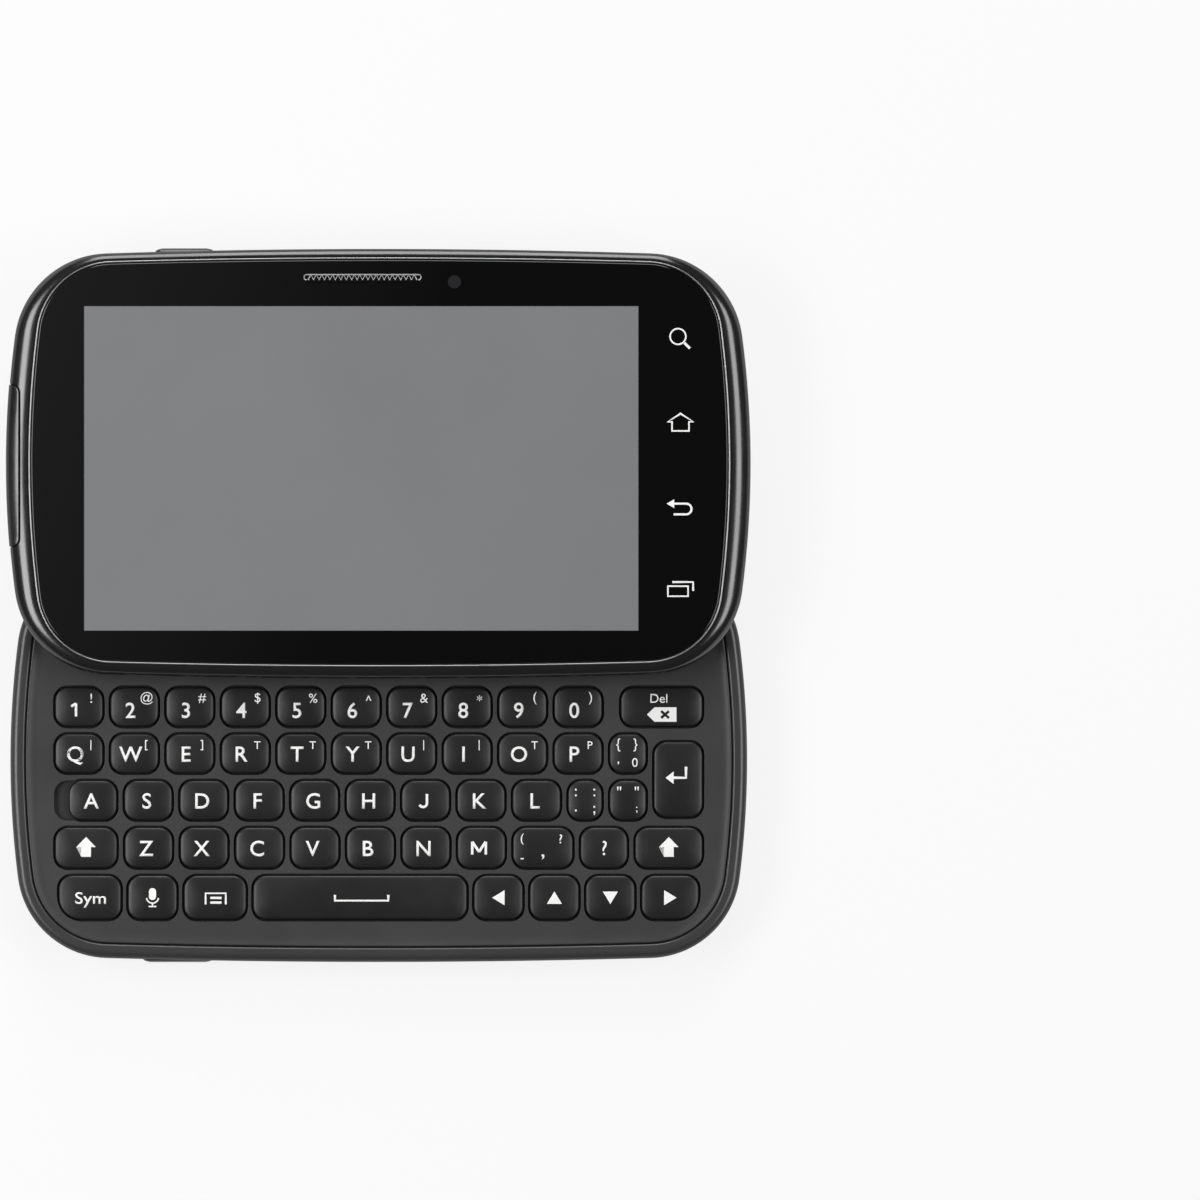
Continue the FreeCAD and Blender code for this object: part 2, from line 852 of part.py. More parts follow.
def loudspeaker():
    """Closed speaker box behind the slots."""
    return flat_cornered_prism(speaker_x, speaker_y, speaker_body_x, speaker_body_y,
                               speaker_body_corner, cover_wall + inner_gap,
                               main_board_underside)


def jack_barrel(radius, end_gap):
    """Round part of the headphone socket that passes through the end wall."""
    left = -base_half_x + jack_barrel_setback - end_gap
    return Part.makeCylinder(radius, jack_barrel_length + end_gap,
                             Vector(left, jack_y, jack_height_at_centre), Vector(1, 0, 0))


def jack_body(gap):
    """Square part of the headphone socket inside the housing."""
    left = -base_half_x + jack_barrel_setback + jack_barrel_length
    right = -base_half_x + jack_barrel_setback + jack_bore_depth + jack_end_wall
    return block(left - gap, right + gap,
                 jack_y - jack_body_width / 2 - gap, jack_y + jack_body_width / 2 + gap,
                 jack_height_at_centre - jack_body_height / 2,
                 jack_height_at_centre + jack_body_height / 2)


def headphone_jack():
    """Round 3.5 mm socket."""
    bore = Part.makeCylinder(jack_bore_radius, jack_bore_depth + 1,
                             Vector(-base_half_x + jack_barrel_setback - 1, jack_y,
                                    jack_height_at_centre), Vector(1, 0, 0))
    return fused([jack_barrel(jack_barrel_radius, 0), jack_body(0)]).cut(bore)


def port_hinge():
    """Y and Z of the port cover's hinge line."""
    return -base_half_y + port_hinge_radius, widest_height - inner_gap / 2


def usb_block(gap):
    """Outside of the micro USB socket, grown by a gap."""
    front = -base_half_y + port_cover_thickness + 2 * port_cover_gap
    return block(port_x - usb_width / 2 - gap, port_x + usb_width / 2 + gap,
                 front - gap, front + usb_depth + gap,
                 usb_height_at_centre - usb_height / 2 - gap,
                 usb_height_at_centre + usb_height / 2 + gap)


def usb_port():
    """Micro USB socket with an open mouth and a tongue."""
    front = -base_half_y + port_cover_thickness + 2 * port_cover_gap
    half_x = usb_width / 2 - usb_shell
    half_z = usb_height / 2 - usb_shell
    mouth = block(port_x - half_x, port_x + half_x, front - 1, front + usb_depth - usb_shell,
                  usb_height_at_centre - half_z, usb_height_at_centre + half_z)
    tongue = block(port_x - half_x + usb_tongue_inset, port_x + half_x - usb_tongue_inset,
                   front + usb_tongue_setback, front + usb_depth - usb_shell / 2,
                   usb_height_at_centre - usb_tongue_thickness / 2,
                   usb_height_at_centre + usb_tongue_thickness / 2)
    return fused([usb_block(0).cut(mouth), tongue])


def port_pocket():
    """Recess in the frame for the port cover, with square bores for its hinge pins."""
    hinge_y, hinge_z = port_hinge()
    reach = port_cover_width / 2 + port_cover_gap
    inner = hinge_y + port_hinge_radius + port_cover_gap
    recess = block(port_x - reach, port_x + reach, -base_half_y - cover_wall, inner,
                   port_cover_free_edge - port_cover_gap,
                   hinge_z + port_hinge_radius + port_cover_gap)
    pin_reach = reach + port_pin_length + port_pin_gap
    pin_half = port_pin_radius + port_pin_gap
    pins = block(port_x - pin_reach, port_x + pin_reach, hinge_y - pin_half,
                 hinge_y + pin_half, hinge_z - pin_half, hinge_z + pin_half)
    return fused([recess, pins])


def port_cover():
    """Hinged flap over the USB socket, with a nail nick in its free edge."""
    hinge_y, hinge_z = port_hinge()
    left = port_x - port_cover_width / 2
    flap = block(left, left + port_cover_width, -base_half_y - 1,
                 -base_half_y + port_cover_thickness, port_cover_free_edge, hinge_z)
    barrel = Part.makeCylinder(port_hinge_radius, port_cover_width,
                               Vector(left, hinge_y, hinge_z), Vector(1, 0, 0))
    body = fused([flap, barrel]).common(side_skin())
    nick = block(port_x - port_nick_width / 2, port_x + port_nick_width / 2,
                 -base_half_y - 1, -base_half_y + port_nick_height + port_nick_depth,
                 port_cover_free_edge - 1, port_cover_free_edge + port_nick_depth)
    pins = Part.makeCylinder(port_pin_radius, port_cover_width + 2 * port_pin_length,
                             Vector(left - port_pin_length, hinge_y, hinge_z), Vector(1, 0, 0))
    return fused([body.cut(nick), pins])


def side_prism(x, width, height, middle_z, corner, low_y, high_y):
    """Rounded bar that runs along Y."""
    flat = flat_cornered_prism(x, 0, width, height, corner, 0, high_y - low_y)
    flat.rotate(Vector(0, 0, 0), Vector(1, 0, 0), 90)
    flat.translate(Vector(0, high_y, middle_z))
    return flat


def shutter_pocket():
    """Recess for the shutter key."""
    gap = side_key_gap
    return side_prism(shutter_key_x, shutter_key_width + 2 * gap, shutter_key_height + 2 * gap,
                      widest_height, side_key_corner + gap, -base_half_y - 1,
                      -base_half_y + side_key_depth + shutter_key_travel + gap)


def shutter_key():
    """Camera key on the front long side."""
    return side_prism(shutter_key_x, shutter_key_width, shutter_key_height, widest_height,
                      side_key_corner, -base_half_y - shutter_key_proud,
                      -base_half_y + side_key_depth)


def slide_shoes():
    """T-shaped shoes that the screen half's rails run on."""
    low, high = shoe_span()
    shoes = []
    for side in (-1, 1):
        x = side * rail_offset_x
        neck = rail_slot - 2 * shoe_neck_gap
        foot = block(x - shoe_foot_width / 2, x + shoe_foot_width / 2, low, high,
                     deck_top, deck_top + shoe_foot_thickness)
        post = block(x - neck / 2, x + neck / 2, low, high, deck_top, shoe_head_underside)
        head = block(x - shoe_head_width / 2, x + shoe_head_width / 2, low, high,
                     shoe_head_underside, shoe_head_top)
        shoe = fused([foot, post, head])
        shoes.append(shoe.cut(screw_bores(shoe_screw_places(), deck_top, shoe_head_underside)))
    return Part.makeCompound(shoes)


def shoe_screws():
    """Screws from behind the mid plate up into the shoes."""
    screws = [screw(x, y, mid_plate_underside - screw_head_height, mid_plate_underside,
                    shoe_head_underside - inner_gap)
              for x, y in shoe_screw_places()]
    return Part.makeCompound(screws)


# Screen half

def screen_back():
    """Rear shell of the screen half with two slots for the shoes."""
    shell = Part.makeLoft([screen_back_section(a) for a in screen_back_angles], True, True)
    room = screen_cavity(rail_underside, screen_widest)
    bosses = [small_post(x, y, screen_boss_radius, rail_underside - screen_floor / 2,
                         chassis_top - chassis_thickness)
              for x, y in screen_screw_places()]
    shell = shell.cut(room).fuse(bosses)
    cuts = screw_bores(screen_screw_places(), rail_underside, chassis_top)
    cuts += [centred_block(side * rail_offset_x, 0, rail_slot, 2 * rail_half_y,
                           deck_top, rail_top)
             for side in (-1, 1)]
    return in_screen_half(shell.cut(cuts))


def screen_bezel_sections():
    """Wires of the bezel's outer surface from the seam up to the trim."""
    above = [screen_front_section(a) for a in screen_front_angles]
    return [screen_back_section(screen_seam_angle)] + above


def screen_bezel():
    """Front shell of the screen half, from the seam to the trim."""
    shell = Part.makeLoft(screen_bezel_sections(), True, True)
    room = screen_cavity(screen_underside, ledge_height)
    recess = bowed_prism(trim_outline, 0.0, ledge_height, glass_top + 1)
    cuts = [room, recess, power_pocket(), rocker_pocket()]
    return in_screen_half(shell.cut(cuts))


def trim_ring():
    """Thin bright ring between the bezel and the glass."""
    outer = bowed_prism(trim_outline, trim_gap, ledge_height, glass_top + trim_proud)
    inner = bowed_prism(trim_outline, trim_gap + trim_width, ledge_height - 1, glass_top + 1)
    return in_screen_half(outer.cut(inner))


def earpiece_y():
    """Middle of the earpiece slot, down from the trim's top edge."""
    return trim_top_y - earpiece_below_trim


def touch_glass():
    """Cover glass with the earpiece slot."""
    glass = bowed_prism(trim_outline, 2 * trim_gap + trim_width, ledge_height, glass_top)
    slot = centred_block(earpiece_x, earpiece_y(), earpiece_width + 2 * trim_gap,
                         earpiece_height + 2 * trim_gap, chassis_top,
                         glass_top + glass_thickness)
    return in_screen_half(glass.cut(slot))


def lcd_panel():
    """Display module on the chassis."""
    return in_screen_half(centred_block(display_shift_x, display_shift_y, display_width,
                                        display_height, chassis_top,
                                        chassis_top + display_thickness))


def display_chassis():
    """Metal plate that carries the display."""
    plate = flat_cornered_prism(0, 0, 2 * (screen_cavity_x - inner_gap),
                                2 * (screen_cavity_y - inner_gap), cavity_corner - inner_gap,
                                chassis_top - chassis_thickness, chassis_top)
    return in_screen_half(plate.cut(screw_bores(screen_screw_places(), rail_underside,
                                                glass_top)))


def slide_rails():
    """Two pressed channels that hold the shoes' heads."""
    cavity = shoe_head_width / 2 + shoe_side_gap
    rails = []
    for side in (-1, 1):
        x = side * rail_offset_x
        bar = centred_block(x, 0, rail_width, 2 * rail_half_y, rail_underside, rail_top)
        head_room = block(x - cavity, x + cavity, -rail_half_y - 1, rail_half_y + 1,
                          rail_underside + rail_sheet, rail_top - rail_sheet)
        neck_room = centred_block(x, 0, rail_slot, 2 * rail_half_y + 2, rail_underside - 1,
                                  rail_underside + rail_sheet + 0.1)
        rails.append(bar.cut([head_room, neck_room]))
    return in_screen_half(Part.makeCompound(rails))


def earpiece_grille():
    """Perforated strip in the earpiece slot."""
    strip = centred_block(earpiece_x, earpiece_y(), earpiece_width, earpiece_height,
                          ledge_height, glass_top - trim_width)
    pitch = earpiece_width / earpiece_holes
    holes = []
    for place in range(earpiece_holes):
        x = earpiece_x + (place - (earpiece_holes - 1) / 2) * pitch
        holes.append(centred_block(x, earpiece_y(), 0.6 * pitch, 0.6 * earpiece_height,
                                   ledge_height - 1, glass_top))
    return in_screen_half(strip.cut(holes))


def earpiece_receiver():
    """Receiver behind the grille."""
    top = screen_cavity_y - inner_gap
    return in_screen_half(block(earpiece_x - receiver_width / 2, earpiece_x + receiver_width / 2,
                                top - receiver_depth, top, chassis_top,
                                ledge_height - display_gap))


def front_camera():
    """Small camera behind the glass."""
    y = screen_cavity_y - inner_gap - front_camera_radius
    return in_screen_half(small_post(front_camera_x, y, front_camera_radius, chassis_top,
                                     ledge_height - display_gap, wide_round_flats))


def screen_board():
    """Circuit board under the chassis between the rails."""
    top = chassis_top - chassis_thickness - inner_gap
    width = 2 * (rail_offset_x - rail_width / 2 - screen_board_rail_gap)
    return in_screen_half(centred_block(0, 0, width, screen_board_height,
                                        top - screen_board_thickness, top))


def chassis_screws():
    """Screws from the chassis down into the rear shell."""
    screws = [screw(x, y, chassis_top, chassis_top + screw_head_height,
                    rail_underside + inner_gap)
              for x, y in screen_screw_places()]
    return in_screen_half(Part.makeCompound(screws))


def power_key_z():
    """Middle height of the power key."""
    return screen_widest + power_key_above_widest


def power_pocket():
    """Recess for the power key."""
    gap = side_key_gap
    return side_prism(power_key_x, power_key_width + 2 * gap, power_key_height + 2 * gap,
                      power_key_z(), side_key_corner + gap,
                      screen_half_y - side_key_depth - power_key_travel - gap,
                      screen_half_y + 1)


def power_key():
    """Power key on the screen half's back long side."""
    return in_screen_half(side_prism(power_key_x, power_key_width, power_key_height,
                                     power_key_z(), side_key_corner,
                                     screen_half_y - side_key_depth,
                                     screen_half_y + power_key_proud))


def rocker_pocket():
    """Notch in the end of the bezel for the volume rocker."""
    gap = side_key_gap
    return block(-screen_half_x - 1, -screen_half_x + rocker_depth + rocker_rock_room,
                 rocker_y - rocker_width / 2 - gap, rocker_y + rocker_width / 2 + gap,
                 rocker_underside - gap, rocker_top + gap)


def volume_rocker():
    """Long rocker that follows the bezel's outer surface."""
    bar = block(-screen_half_x - 1, -screen_half_x + rocker_depth,
                rocker_y - rocker_width / 2, rocker_y + rocker_width / 2,
                rocker_underside, rocker_top)
    skin = Part.makeLoft(screen_bezel_sections(), True, True)
    skin.translate(Vector(-rocker_proud, 0, 0))
    return in_screen_half(bar.common(skin))


# Output

def single_parts():
    """Every node except the keys."""
    return {
        "rear_cover": rear_cover(),
        "base_frame": base_frame(),
        "keypad_bezel": keypad_bezel(),
        "keyboard_deck": keyboard_deck(),
        "keypad_board": keypad_sheet(mid_plate_top, keypad_board_top, 0.0),
        "keypad_mat": keypad_sheet(keypad_board_top, keypad_mat_top, 0.3),
        "main_board": main_board(),
        "shield_cans": shield_cans(),
        "card_socket": card_socket(),
        "battery": battery(),
        "battery_contacts": battery_contacts(),
        "vibration_motor": vibration_motor(),
        "camera_ring": camera_ring(),
        "camera_window": camera_window(),
        "camera_module": camera_module(),
        "flash_lens": flash_lens(),
        "flash_led": flash_led(),
        "loudspeaker": loudspeaker(),
        "headphone_jack": headphone_jack(),
        "usb_port": usb_port(),
        "port_cover": port_cover(),
        "shutter_key": shutter_key(),
        "slide_shoes": slide_shoes(),
        "shoe_screws": shoe_screws(),
        "screen_back": screen_back(),
        "screen_bezel": screen_bezel(),
        "trim_ring": trim_ring(),
        "touch_glass": touch_glass(),
        "lcd_panel": lcd_panel(),
        "display_chassis": display_chassis(),
        "slide_rails": slide_rails(),
        "earpiece_grille": earpiece_grille(),
        "earpiece_receiver": earpiece_receiver(),
        "front_camera": front_camera(),
        "screen_board": screen_board(),
        "chassis_screws": chassis_screws(),
        "power_key": power_key(),
        "volume_rocker": volume_rocker(),
    }


def key_parts():
    """One node for each group of keys."""
    groups = {}
    for key in key_layout():
        groups.setdefault(key.node, []).append(key_cap(key))
    return {node: Part.makeCompound(caps) for node, caps in groups.items()}


os.makedirs("parts", exist_ok=True)
parts = single_parts()
parts.update(key_parts())
for node, shape in parts.items():
    shape.exportStep("parts/" + node + ".step")
print(len(parts), "nodes;", "base", round(2 * base_half_x, 2), "x", round(2 * base_half_y, 2),
      "screen", round(2 * screen_half_x, 2), "x", round(2 * screen_half_y, 2),
      "height", round(glass_top + trim_proud, 2))
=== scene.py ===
import json
import math

import bmesh
import bpy
from bpy.props import FloatProperty, FloatVectorProperty, IntProperty, PointerProperty
from mathutils import Matrix, Vector
from mathutils.bvhtree import BVHTree


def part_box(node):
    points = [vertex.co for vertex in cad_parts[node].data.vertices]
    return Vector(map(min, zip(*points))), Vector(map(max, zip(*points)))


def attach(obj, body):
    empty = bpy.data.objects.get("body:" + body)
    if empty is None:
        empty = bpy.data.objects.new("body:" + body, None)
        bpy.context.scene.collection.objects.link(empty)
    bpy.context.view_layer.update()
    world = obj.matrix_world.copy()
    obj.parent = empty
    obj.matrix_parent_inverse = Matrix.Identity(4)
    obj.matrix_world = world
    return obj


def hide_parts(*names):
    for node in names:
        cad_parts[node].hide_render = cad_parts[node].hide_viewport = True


bl_info = {
    "name": "Slider phone",
    "version": (1, 0, 0),
    "blender": (4, 5, 0),
    "location": "3D View > Sidebar > Phone",
    "description": "Builds the finished surfaces of a side-sliding keyboard phone round its frame",
    "category": "Add Mesh",
}

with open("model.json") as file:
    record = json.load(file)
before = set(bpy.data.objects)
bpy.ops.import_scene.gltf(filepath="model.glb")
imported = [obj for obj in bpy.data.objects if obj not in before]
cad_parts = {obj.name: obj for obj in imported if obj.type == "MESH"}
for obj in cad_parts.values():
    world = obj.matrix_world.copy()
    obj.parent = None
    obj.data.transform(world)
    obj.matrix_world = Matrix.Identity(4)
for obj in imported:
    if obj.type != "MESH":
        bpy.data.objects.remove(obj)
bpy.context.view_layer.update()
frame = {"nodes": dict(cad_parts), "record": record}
MM = 0.001


# Places read from the frame

def node_box(node):
    """Lowest and highest corner of a node in millimetres."""
    low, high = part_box(node)
    return low / MM, high / MM


def node_middle(node):
    """Middle of a node's box in millimetres."""
    low, high = node_box(node)
    return (low + high) / 2


def merged_copy(node):
    """Bmesh copy of a node with its loose triangles merged."""
    mesh = bmesh.new()
    mesh.from_mesh(frame["nodes"][node].data)
    bmesh.ops.remove_doubles(mesh, verts=mesh.verts, dist=1e-6)
    return mesh


def islands(node):
    """Box of each separate solid in a node, in millimetres."""
    mesh = merged_copy(node)
    left = set(mesh.verts)
    boxes = []
    while left:
        group = [left.pop()]
        for vert in group:
            for edge in vert.link_edges:
                other = edge.other_vert(vert)
                if other in left:
                    left.remove(other)
                    group.append(other)
        xs, ys, zs = zip(*(vert.co / MM for vert in group))
        boxes.append((Vector((min(xs), min(ys), min(zs))), Vector((max(xs), max(ys), max(zs)))))
    mesh.free()
    return boxes


FRAME_LOW, FRAME_HIGH = node_box("base_frame")
COVER_LOW, COVER_HIGH = node_box("rear_cover")
DECK_LOW, DECK_HIGH = node_box("keyboard_deck")
BEZEL_LOW, BEZEL_HIGH = node_box("keypad_bezel")
SCREEN_LOW, SCREEN_HIGH = node_box("screen_bezel")
BACK_LOW, BACK_HIGH = node_box("screen_back")
TRIM_LOW, TRIM_HIGH = node_box("trim_ring")
GLASS_LOW, GLASS_HIGH = node_box("touch_glass")
LCD_LOW, LCD_HIGH = node_box("lcd_panel")
TRAVEL_Y = (SCREEN_LOW.y + SCREEN_HIGH.y) / 2
BASE_HALF_X = (FRAME_HIGH.x - FRAME_LOW.x) / 2
BASE_HALF_Y = (FRAME_HIGH.y - FRAME_LOW.y) / 2
SCREEN_HALF_X = SCREEN_HIGH.x
DISPLAY_INSET = (3.0, 1.35, 0.0)
SCREEN_HALF_Y = (SCREEN_HIGH.y - SCREEN_LOW.y) / 2


# Settings a user may change

class PhoneShapeSettings(bpy.types.PropertyGroup):
    """Sizes of the housing's rolled edges, in millimetres."""

    base_corner: FloatProperty(
        name="Base corner", description="Corner radius of the keyboard half", default=14.6)
    base_end_bow: FloatProperty(
        name="Base end bow", description="Radius of the keyboard half's short ends",
        default=148.0)
    base_side_bow: FloatProperty(
        name="Base side bow", description="Radius of the keyboard half's long sides",
        default=1500.0)
    back_roll: FloatProperty(
        name="Back roll", description="Width of the rear cover's rolled edge", default=7.0)
    front_roll: FloatProperty(
        name="Front roll", description="Width of the keyboard rim's roll", default=1.25)
    widest: FloatProperty(
        name="Widest height", description="Height of the keyboard half's widest line",
        default=5.2)
    rim_inset: FloatProperty(
        name="Rim inset", description="Distance from the outline to the deck's recess",
        default=2.3)
    deck_gap: FloatProperty(
        name="Deck gap", description="Dark gap round the deck", default=0.15)
    screen_corner: FloatProperty(
        name="Screen corner", description="Corner radius of the screen half", default=15.1)
    screen_end_bow: FloatProperty(
        name="Screen end bow", description="Radius of the screen half's short ends",
        default=155.0)
    screen_side_bow: FloatProperty(
        name="Screen side bow", description="Radius of the screen half's long sides",
        default=1330.0)
    trim_corner: FloatProperty(
        name="Trim corner", description="Corner radius of the bright trim", default=12.2)
    trim_end_bow: FloatProperty(
        name="Trim end bow", description="Radius of the trim's short ends", default=170.0)
    trim_side_bow: FloatProperty(
        name="Trim side bow", description="Radius of the trim's long sides", default=1540.0)
    trim_shift: FloatProperty(
        name="Trim shift", description="Distance of the glass from the middle", default=0.14)
    trim_spread: FloatProperty(
        name="Trim spread", description="Distance of the trim past its solid", default=0.19)
    back_rise: FloatProperty(
        name="Screen back rise", description="Height of the screen half's lower roll",
        default=1.85)
    bezel_rise: FloatProperty(
        name="Bezel rise", description="Height of the screen half's upper roll", default=3.0)
    roll_steepness: FloatProperty(
        name="Roll steepness", description="Height of the roll for its width", default=0.62)
    roll_height: FloatProperty(
        name="Roll height", description="Greatest height of the roll round the glass",
        default=1.66)
    bezel_start: FloatProperty(
        name="Bezel start", description="Degrees of the glass roll that stand upright",
        default=32.0)
    rim_start: FloatProperty(
        name="Rim start", description="Degrees of the keyboard rim's roll that stand upright",
        default=40.0)
    screen_back_roll: FloatProperty(
        name="Screen back roll", description="Width of the screen half's lower roll",
        default=2.0)
    key_corner: FloatProperty(
        name="Key corner", description="Corner radius of a key cap", default=2.10)
    outer_key_corner: FloatProperty(
        name="Outer key corner", description="Radius at the keyboard's lower outer corners",
        default=3.8)
    key_roll: FloatProperty(
        name="Key roll", description="Width of a key cap's rounded edge", default=0.42)
    key_dome: FloatProperty(
        name="Key dome", description="Height of a key cap's domed top", default=0.30)
    well_gap: FloatProperty(
        name="Well gap", description="Dark gap round each key", default=0.26)
    # Faces deeper than this under the deck's top take the dark key colour as painted shade.
    painted_shade_depth: FloatProperty(
        name="Shade depth", description="Depth from which the wells are dark", default=0.03)
    jack_setback: FloatProperty(
        name="Jack setback", description="Distance from the end to the socket's face",
        default=1.0)
    lace_width: FloatProperty(
        name="Lace width", description="Width of the earpiece's wires", default=0.20)
    lace_pitch: FloatProperty(
        name="Lace pitch", description="Distance between the earpiece's holes", default=0.853)
    legend_height: FloatProperty(
        name="Legend height", description="Height of the large letters", default=2.52)
    corner_steps: IntProperty(
        name="Corner steps", description="Points along each corner of an outline", default=22)


class PhoneColourSettings(bpy.types.PropertyGroup):
    """Colours of the finishes."""

    housing: FloatVectorProperty(
        name="Housing", description="Colour of the housing", subtype="COLOR",
        default=(0.0085, 0.0085, 0.0088))
    cover: FloatVectorProperty(
        name="Rear cover", description="Colour of the grained rear cover", subtype="COLOR",
        default=(0.020, 0.020, 0.0205))
    deck: FloatVectorProperty(
        name="Deck", description="Colour of the keyboard deck", subtype="COLOR",
        default=(0.037, 0.037, 0.038))
    # Also used as painted shade on the walls of the deck's wells and the floor of its deep pocket.
    key: FloatVectorProperty(
        name="Keys", description="Colour of the key caps", subtype="COLOR",
        default=(0.0055, 0.0055, 0.0057))
    legend: FloatVectorProperty(
        name="Legends", description="Colour of the printed legends", subtype="COLOR",
        default=(0.82, 0.82, 0.81))
    display: FloatVectorProperty(
        name="Display", description="Colour of the display when off", subtype="COLOR",
        default=(0.185, 0.187, 0.193))
    # The cover glass darkens this colour away from the top left as a painted sheen.
    glass: FloatVectorProperty(
        name="Glass border", description="Colour behind the glass border", subtype="COLOR",
        default=(0.0085, 0.0085, 0.0088))


def shape_settings():
    return bpy.context.scene.phone_shape


def colour_settings():
    return bpy.context.scene.phone_colours


# Outlines

class Outline:
    """Closed outline of eight tangent arcs round a centre."""

    def __init__(self, half_x, half_y, corner, end_bow, side_bow, shift_y=0.0, shift_x=0.0):
        self.values = (half_x, half_y, corner, end_bow, side_bow, shift_y, shift_x)

    def points(self, inset=0.0, steps=22):
        """Points round the outline, anticlockwise, in millimetres."""
        half_x, half_y, corner, end_bow, side_bow, shift_y, shift_x = self.values
        side_centre = Vector((0.0, half_y - side_bow))
        end_centre = Vector((half_x - end_bow, 0.0))
        side_reach = side_bow - corner
        end_reach = end_bow - corner
        between = end_centre - side_centre
        span = between.length
        along = (side_reach ** 2 - end_reach ** 2 + span ** 2) / (2 * span)
        across = math.sqrt(side_reach ** 2 - along ** 2)
        direction = between / span
        normal = Vector((-direction.y, direction.x))
        centre = side_centre + direction * along + normal * across
        if centre.x < 0:
            centre = side_centre + direction * along - normal * across
        end_turn = math.atan2(*(centre - end_centre).yx)
        side_turn = math.atan2(*(centre - side_centre).yx)
        quarter = []
        for middle, radius, first, last, count in (
                (end_centre, end_bow, 0.0, end_turn, steps // 2),
                (centre, corner, end_turn, side_turn, steps),
                (side_centre, side_bow, side_turn, math.pi / 2, steps // 2)):
            for step in range(count):
                turn = first + (last - first) * step / count
                quarter.append(middle + Vector((math.cos(turn), math.sin(turn)))
                               * (radius - inset))
        top = Vector((0.0, half_y - inset))
        upper = quarter + [top] + [Vector((-p.x, p.y)) for p in reversed(quarter)]
        lower = [Vector((p.x, -p.y)) for p in reversed(upper[1:-1])]
        return [Vector((p.x + shift_x, p.y + shift_y)) for p in upper + lower]


def base_outline():
    s = shape_settings()
    return Outline(BASE_HALF_X, BASE_HALF_Y, s.base_corner, s.base_end_bow, s.base_side_bow)


def screen_outline():
    s = shape_settings()
    return Outline(SCREEN_HALF_X, SCREEN_HALF_Y, s.screen_corner, s.screen_end_bow,
                   s.screen_side_bow, TRAVEL_Y)


def trim_outline():
    s = shape_settings()
    middle_y = (TRIM_LOW.y + TRIM_HIGH.y) / 2
    return Outline(TRIM_HIGH.x + s.trim_spread, (TRIM_HIGH.y - TRIM_LOW.y) / 2 + s.trim_spread,
                   s.trim_corner, s.trim_end_bow, s.trim_side_bow, middle_y - 0.1, s.trim_shift)


def rectangle_points(low_x, high_x, low_y, high_y, radii, steps=8):
    """Rectangle with rounded corners, whose radii go anticlockwise from the bottom left."""
    places = ((low_x, low_y, 1, 1, 180), (high_x, low_y, -1, 1, 270),
              (high_x, high_y, -1, -1, 0), (low_x, high_y, 1, -1, 90))
    points = []
    for (x, y, sign_x, sign_y, start), radius in zip(places, radii):
        for step in range(steps + 1):
            turn = math.radians(start + 90 * step / steps)
            points.append(Vector((x + sign_x * radius + radius * math.cos(turn),
                                  y + sign_y * radius + radius * math.sin(turn))))
    return points


def box_points(low, high, grow, radii, steps=8):
    """Plan of a box with rounded corners, grown on all sides."""
    return rectangle_points(low.x - grow, high.x + grow, low.y - grow, high.y + grow,
                            radii, steps)


def square_points(middle, reach, corner, steps=8):
    """Square with rounded corners round a point."""
    return box_points(middle, middle, reach, [corner] * 4, steps)


def circle_points(x, y, radius, steps=48):
    """Points round a circle."""
    return [Vector((x + radius * math.cos(2 * math.pi * step / steps),
                    y + radius * math.sin(2 * math.pi * step / steps)))
            for step in range(steps)]


# Mesh building

def ring_places(points, height):
    """Places of a ring in metres; height is one number or one for each point."""
    heights = height if isinstance(height, list) else [height] * len(points)
    return [(p.x * MM, p.y * MM, z * MM) for p, z in zip(points, heights)]


def extruded_ring(mesh, verts, edges, places):
    """Extrudes a ring of edges and moves the new ring to its own places."""
    grown = bmesh.ops.extrude_edge_only(mesh, edges=edges)["geom"]
    fresh = {item for item in grown if isinstance(item, bmesh.types.BMVert)}
    ring = []
    for vert, place in zip(verts, places):
        twin = next(end for end in (edge.other_vert(vert) for edge in vert.link_edges)
                    if end in fresh)
        twin.co = place
        ring.append(twin)
    return ring, [item for item in grown if isinstance(item, bmesh.types.BMEdge)
                  and item.verts[0] in fresh and item.verts[1] in fresh]


def stack_rings(mesh, levels, closed=False):
    """Skin over rings of (points, height), each extruded from the one before."""
    verts = [mesh.verts.new(place) for place in ring_places(*levels[0])]
    edges = [mesh.edges.new((verts[i - 1], verts[i])) for i in range(len(verts))]
    first_edges = edges
    for level in levels[1:] + (levels[:1] if closed else []):
        verts, edges = extruded_ring(mesh, verts, edges, ring_places(*level))
    if closed:
        bmesh.ops.remove_doubles(mesh, verts=mesh.verts, dist=1e-7)
    else:
        for ring in (first_edges, edges):
            bmesh.ops.edgeloop_fill(mesh, edges=ring)
    bmesh.ops.recalc_face_normals(mesh, faces=mesh.faces)


def object_from(mesh, name):
    """Object at the origin from a bmesh."""
    data = bpy.data.meshes.new(name)
    mesh.to_mesh(data)
    mesh.free()
    made = bpy.data.objects.new(name, data)
    bpy.context.scene.collection.objects.link(made)
    return made


def stacked(name, levels, closed=False):
    """Object skinned over a stack of rings."""
    mesh = bmesh.new()
    stack_rings(mesh, levels, closed=closed)
    return object_from(mesh, name)


def finished_mesh(made):
    """Applies all modifiers of an object."""
    bpy.context.view_layer.update()
    graph = bpy.context.evaluated_depsgraph_get()
    data = bpy.data.meshes.new_from_object(made.evaluated_get(graph))
    old = made.data
    made.modifiers.clear()
    made.data = data
    if old.users == 0 and isinstance(old, bpy.types.Mesh):
        bpy.data.meshes.remove(old)
    return made


def carve(made, cutters, operation="DIFFERENCE"):
    """Cuts or joins other objects with this one and deletes them."""
    for cutter in cutters:
        step = made.modifiers.new("carve", "BOOLEAN")
        step.operation = operation
        step.solver = "EXACT"
        step.object = cutter
        finished_mesh(made)
        bpy.data.objects.remove(cutter)
    return made


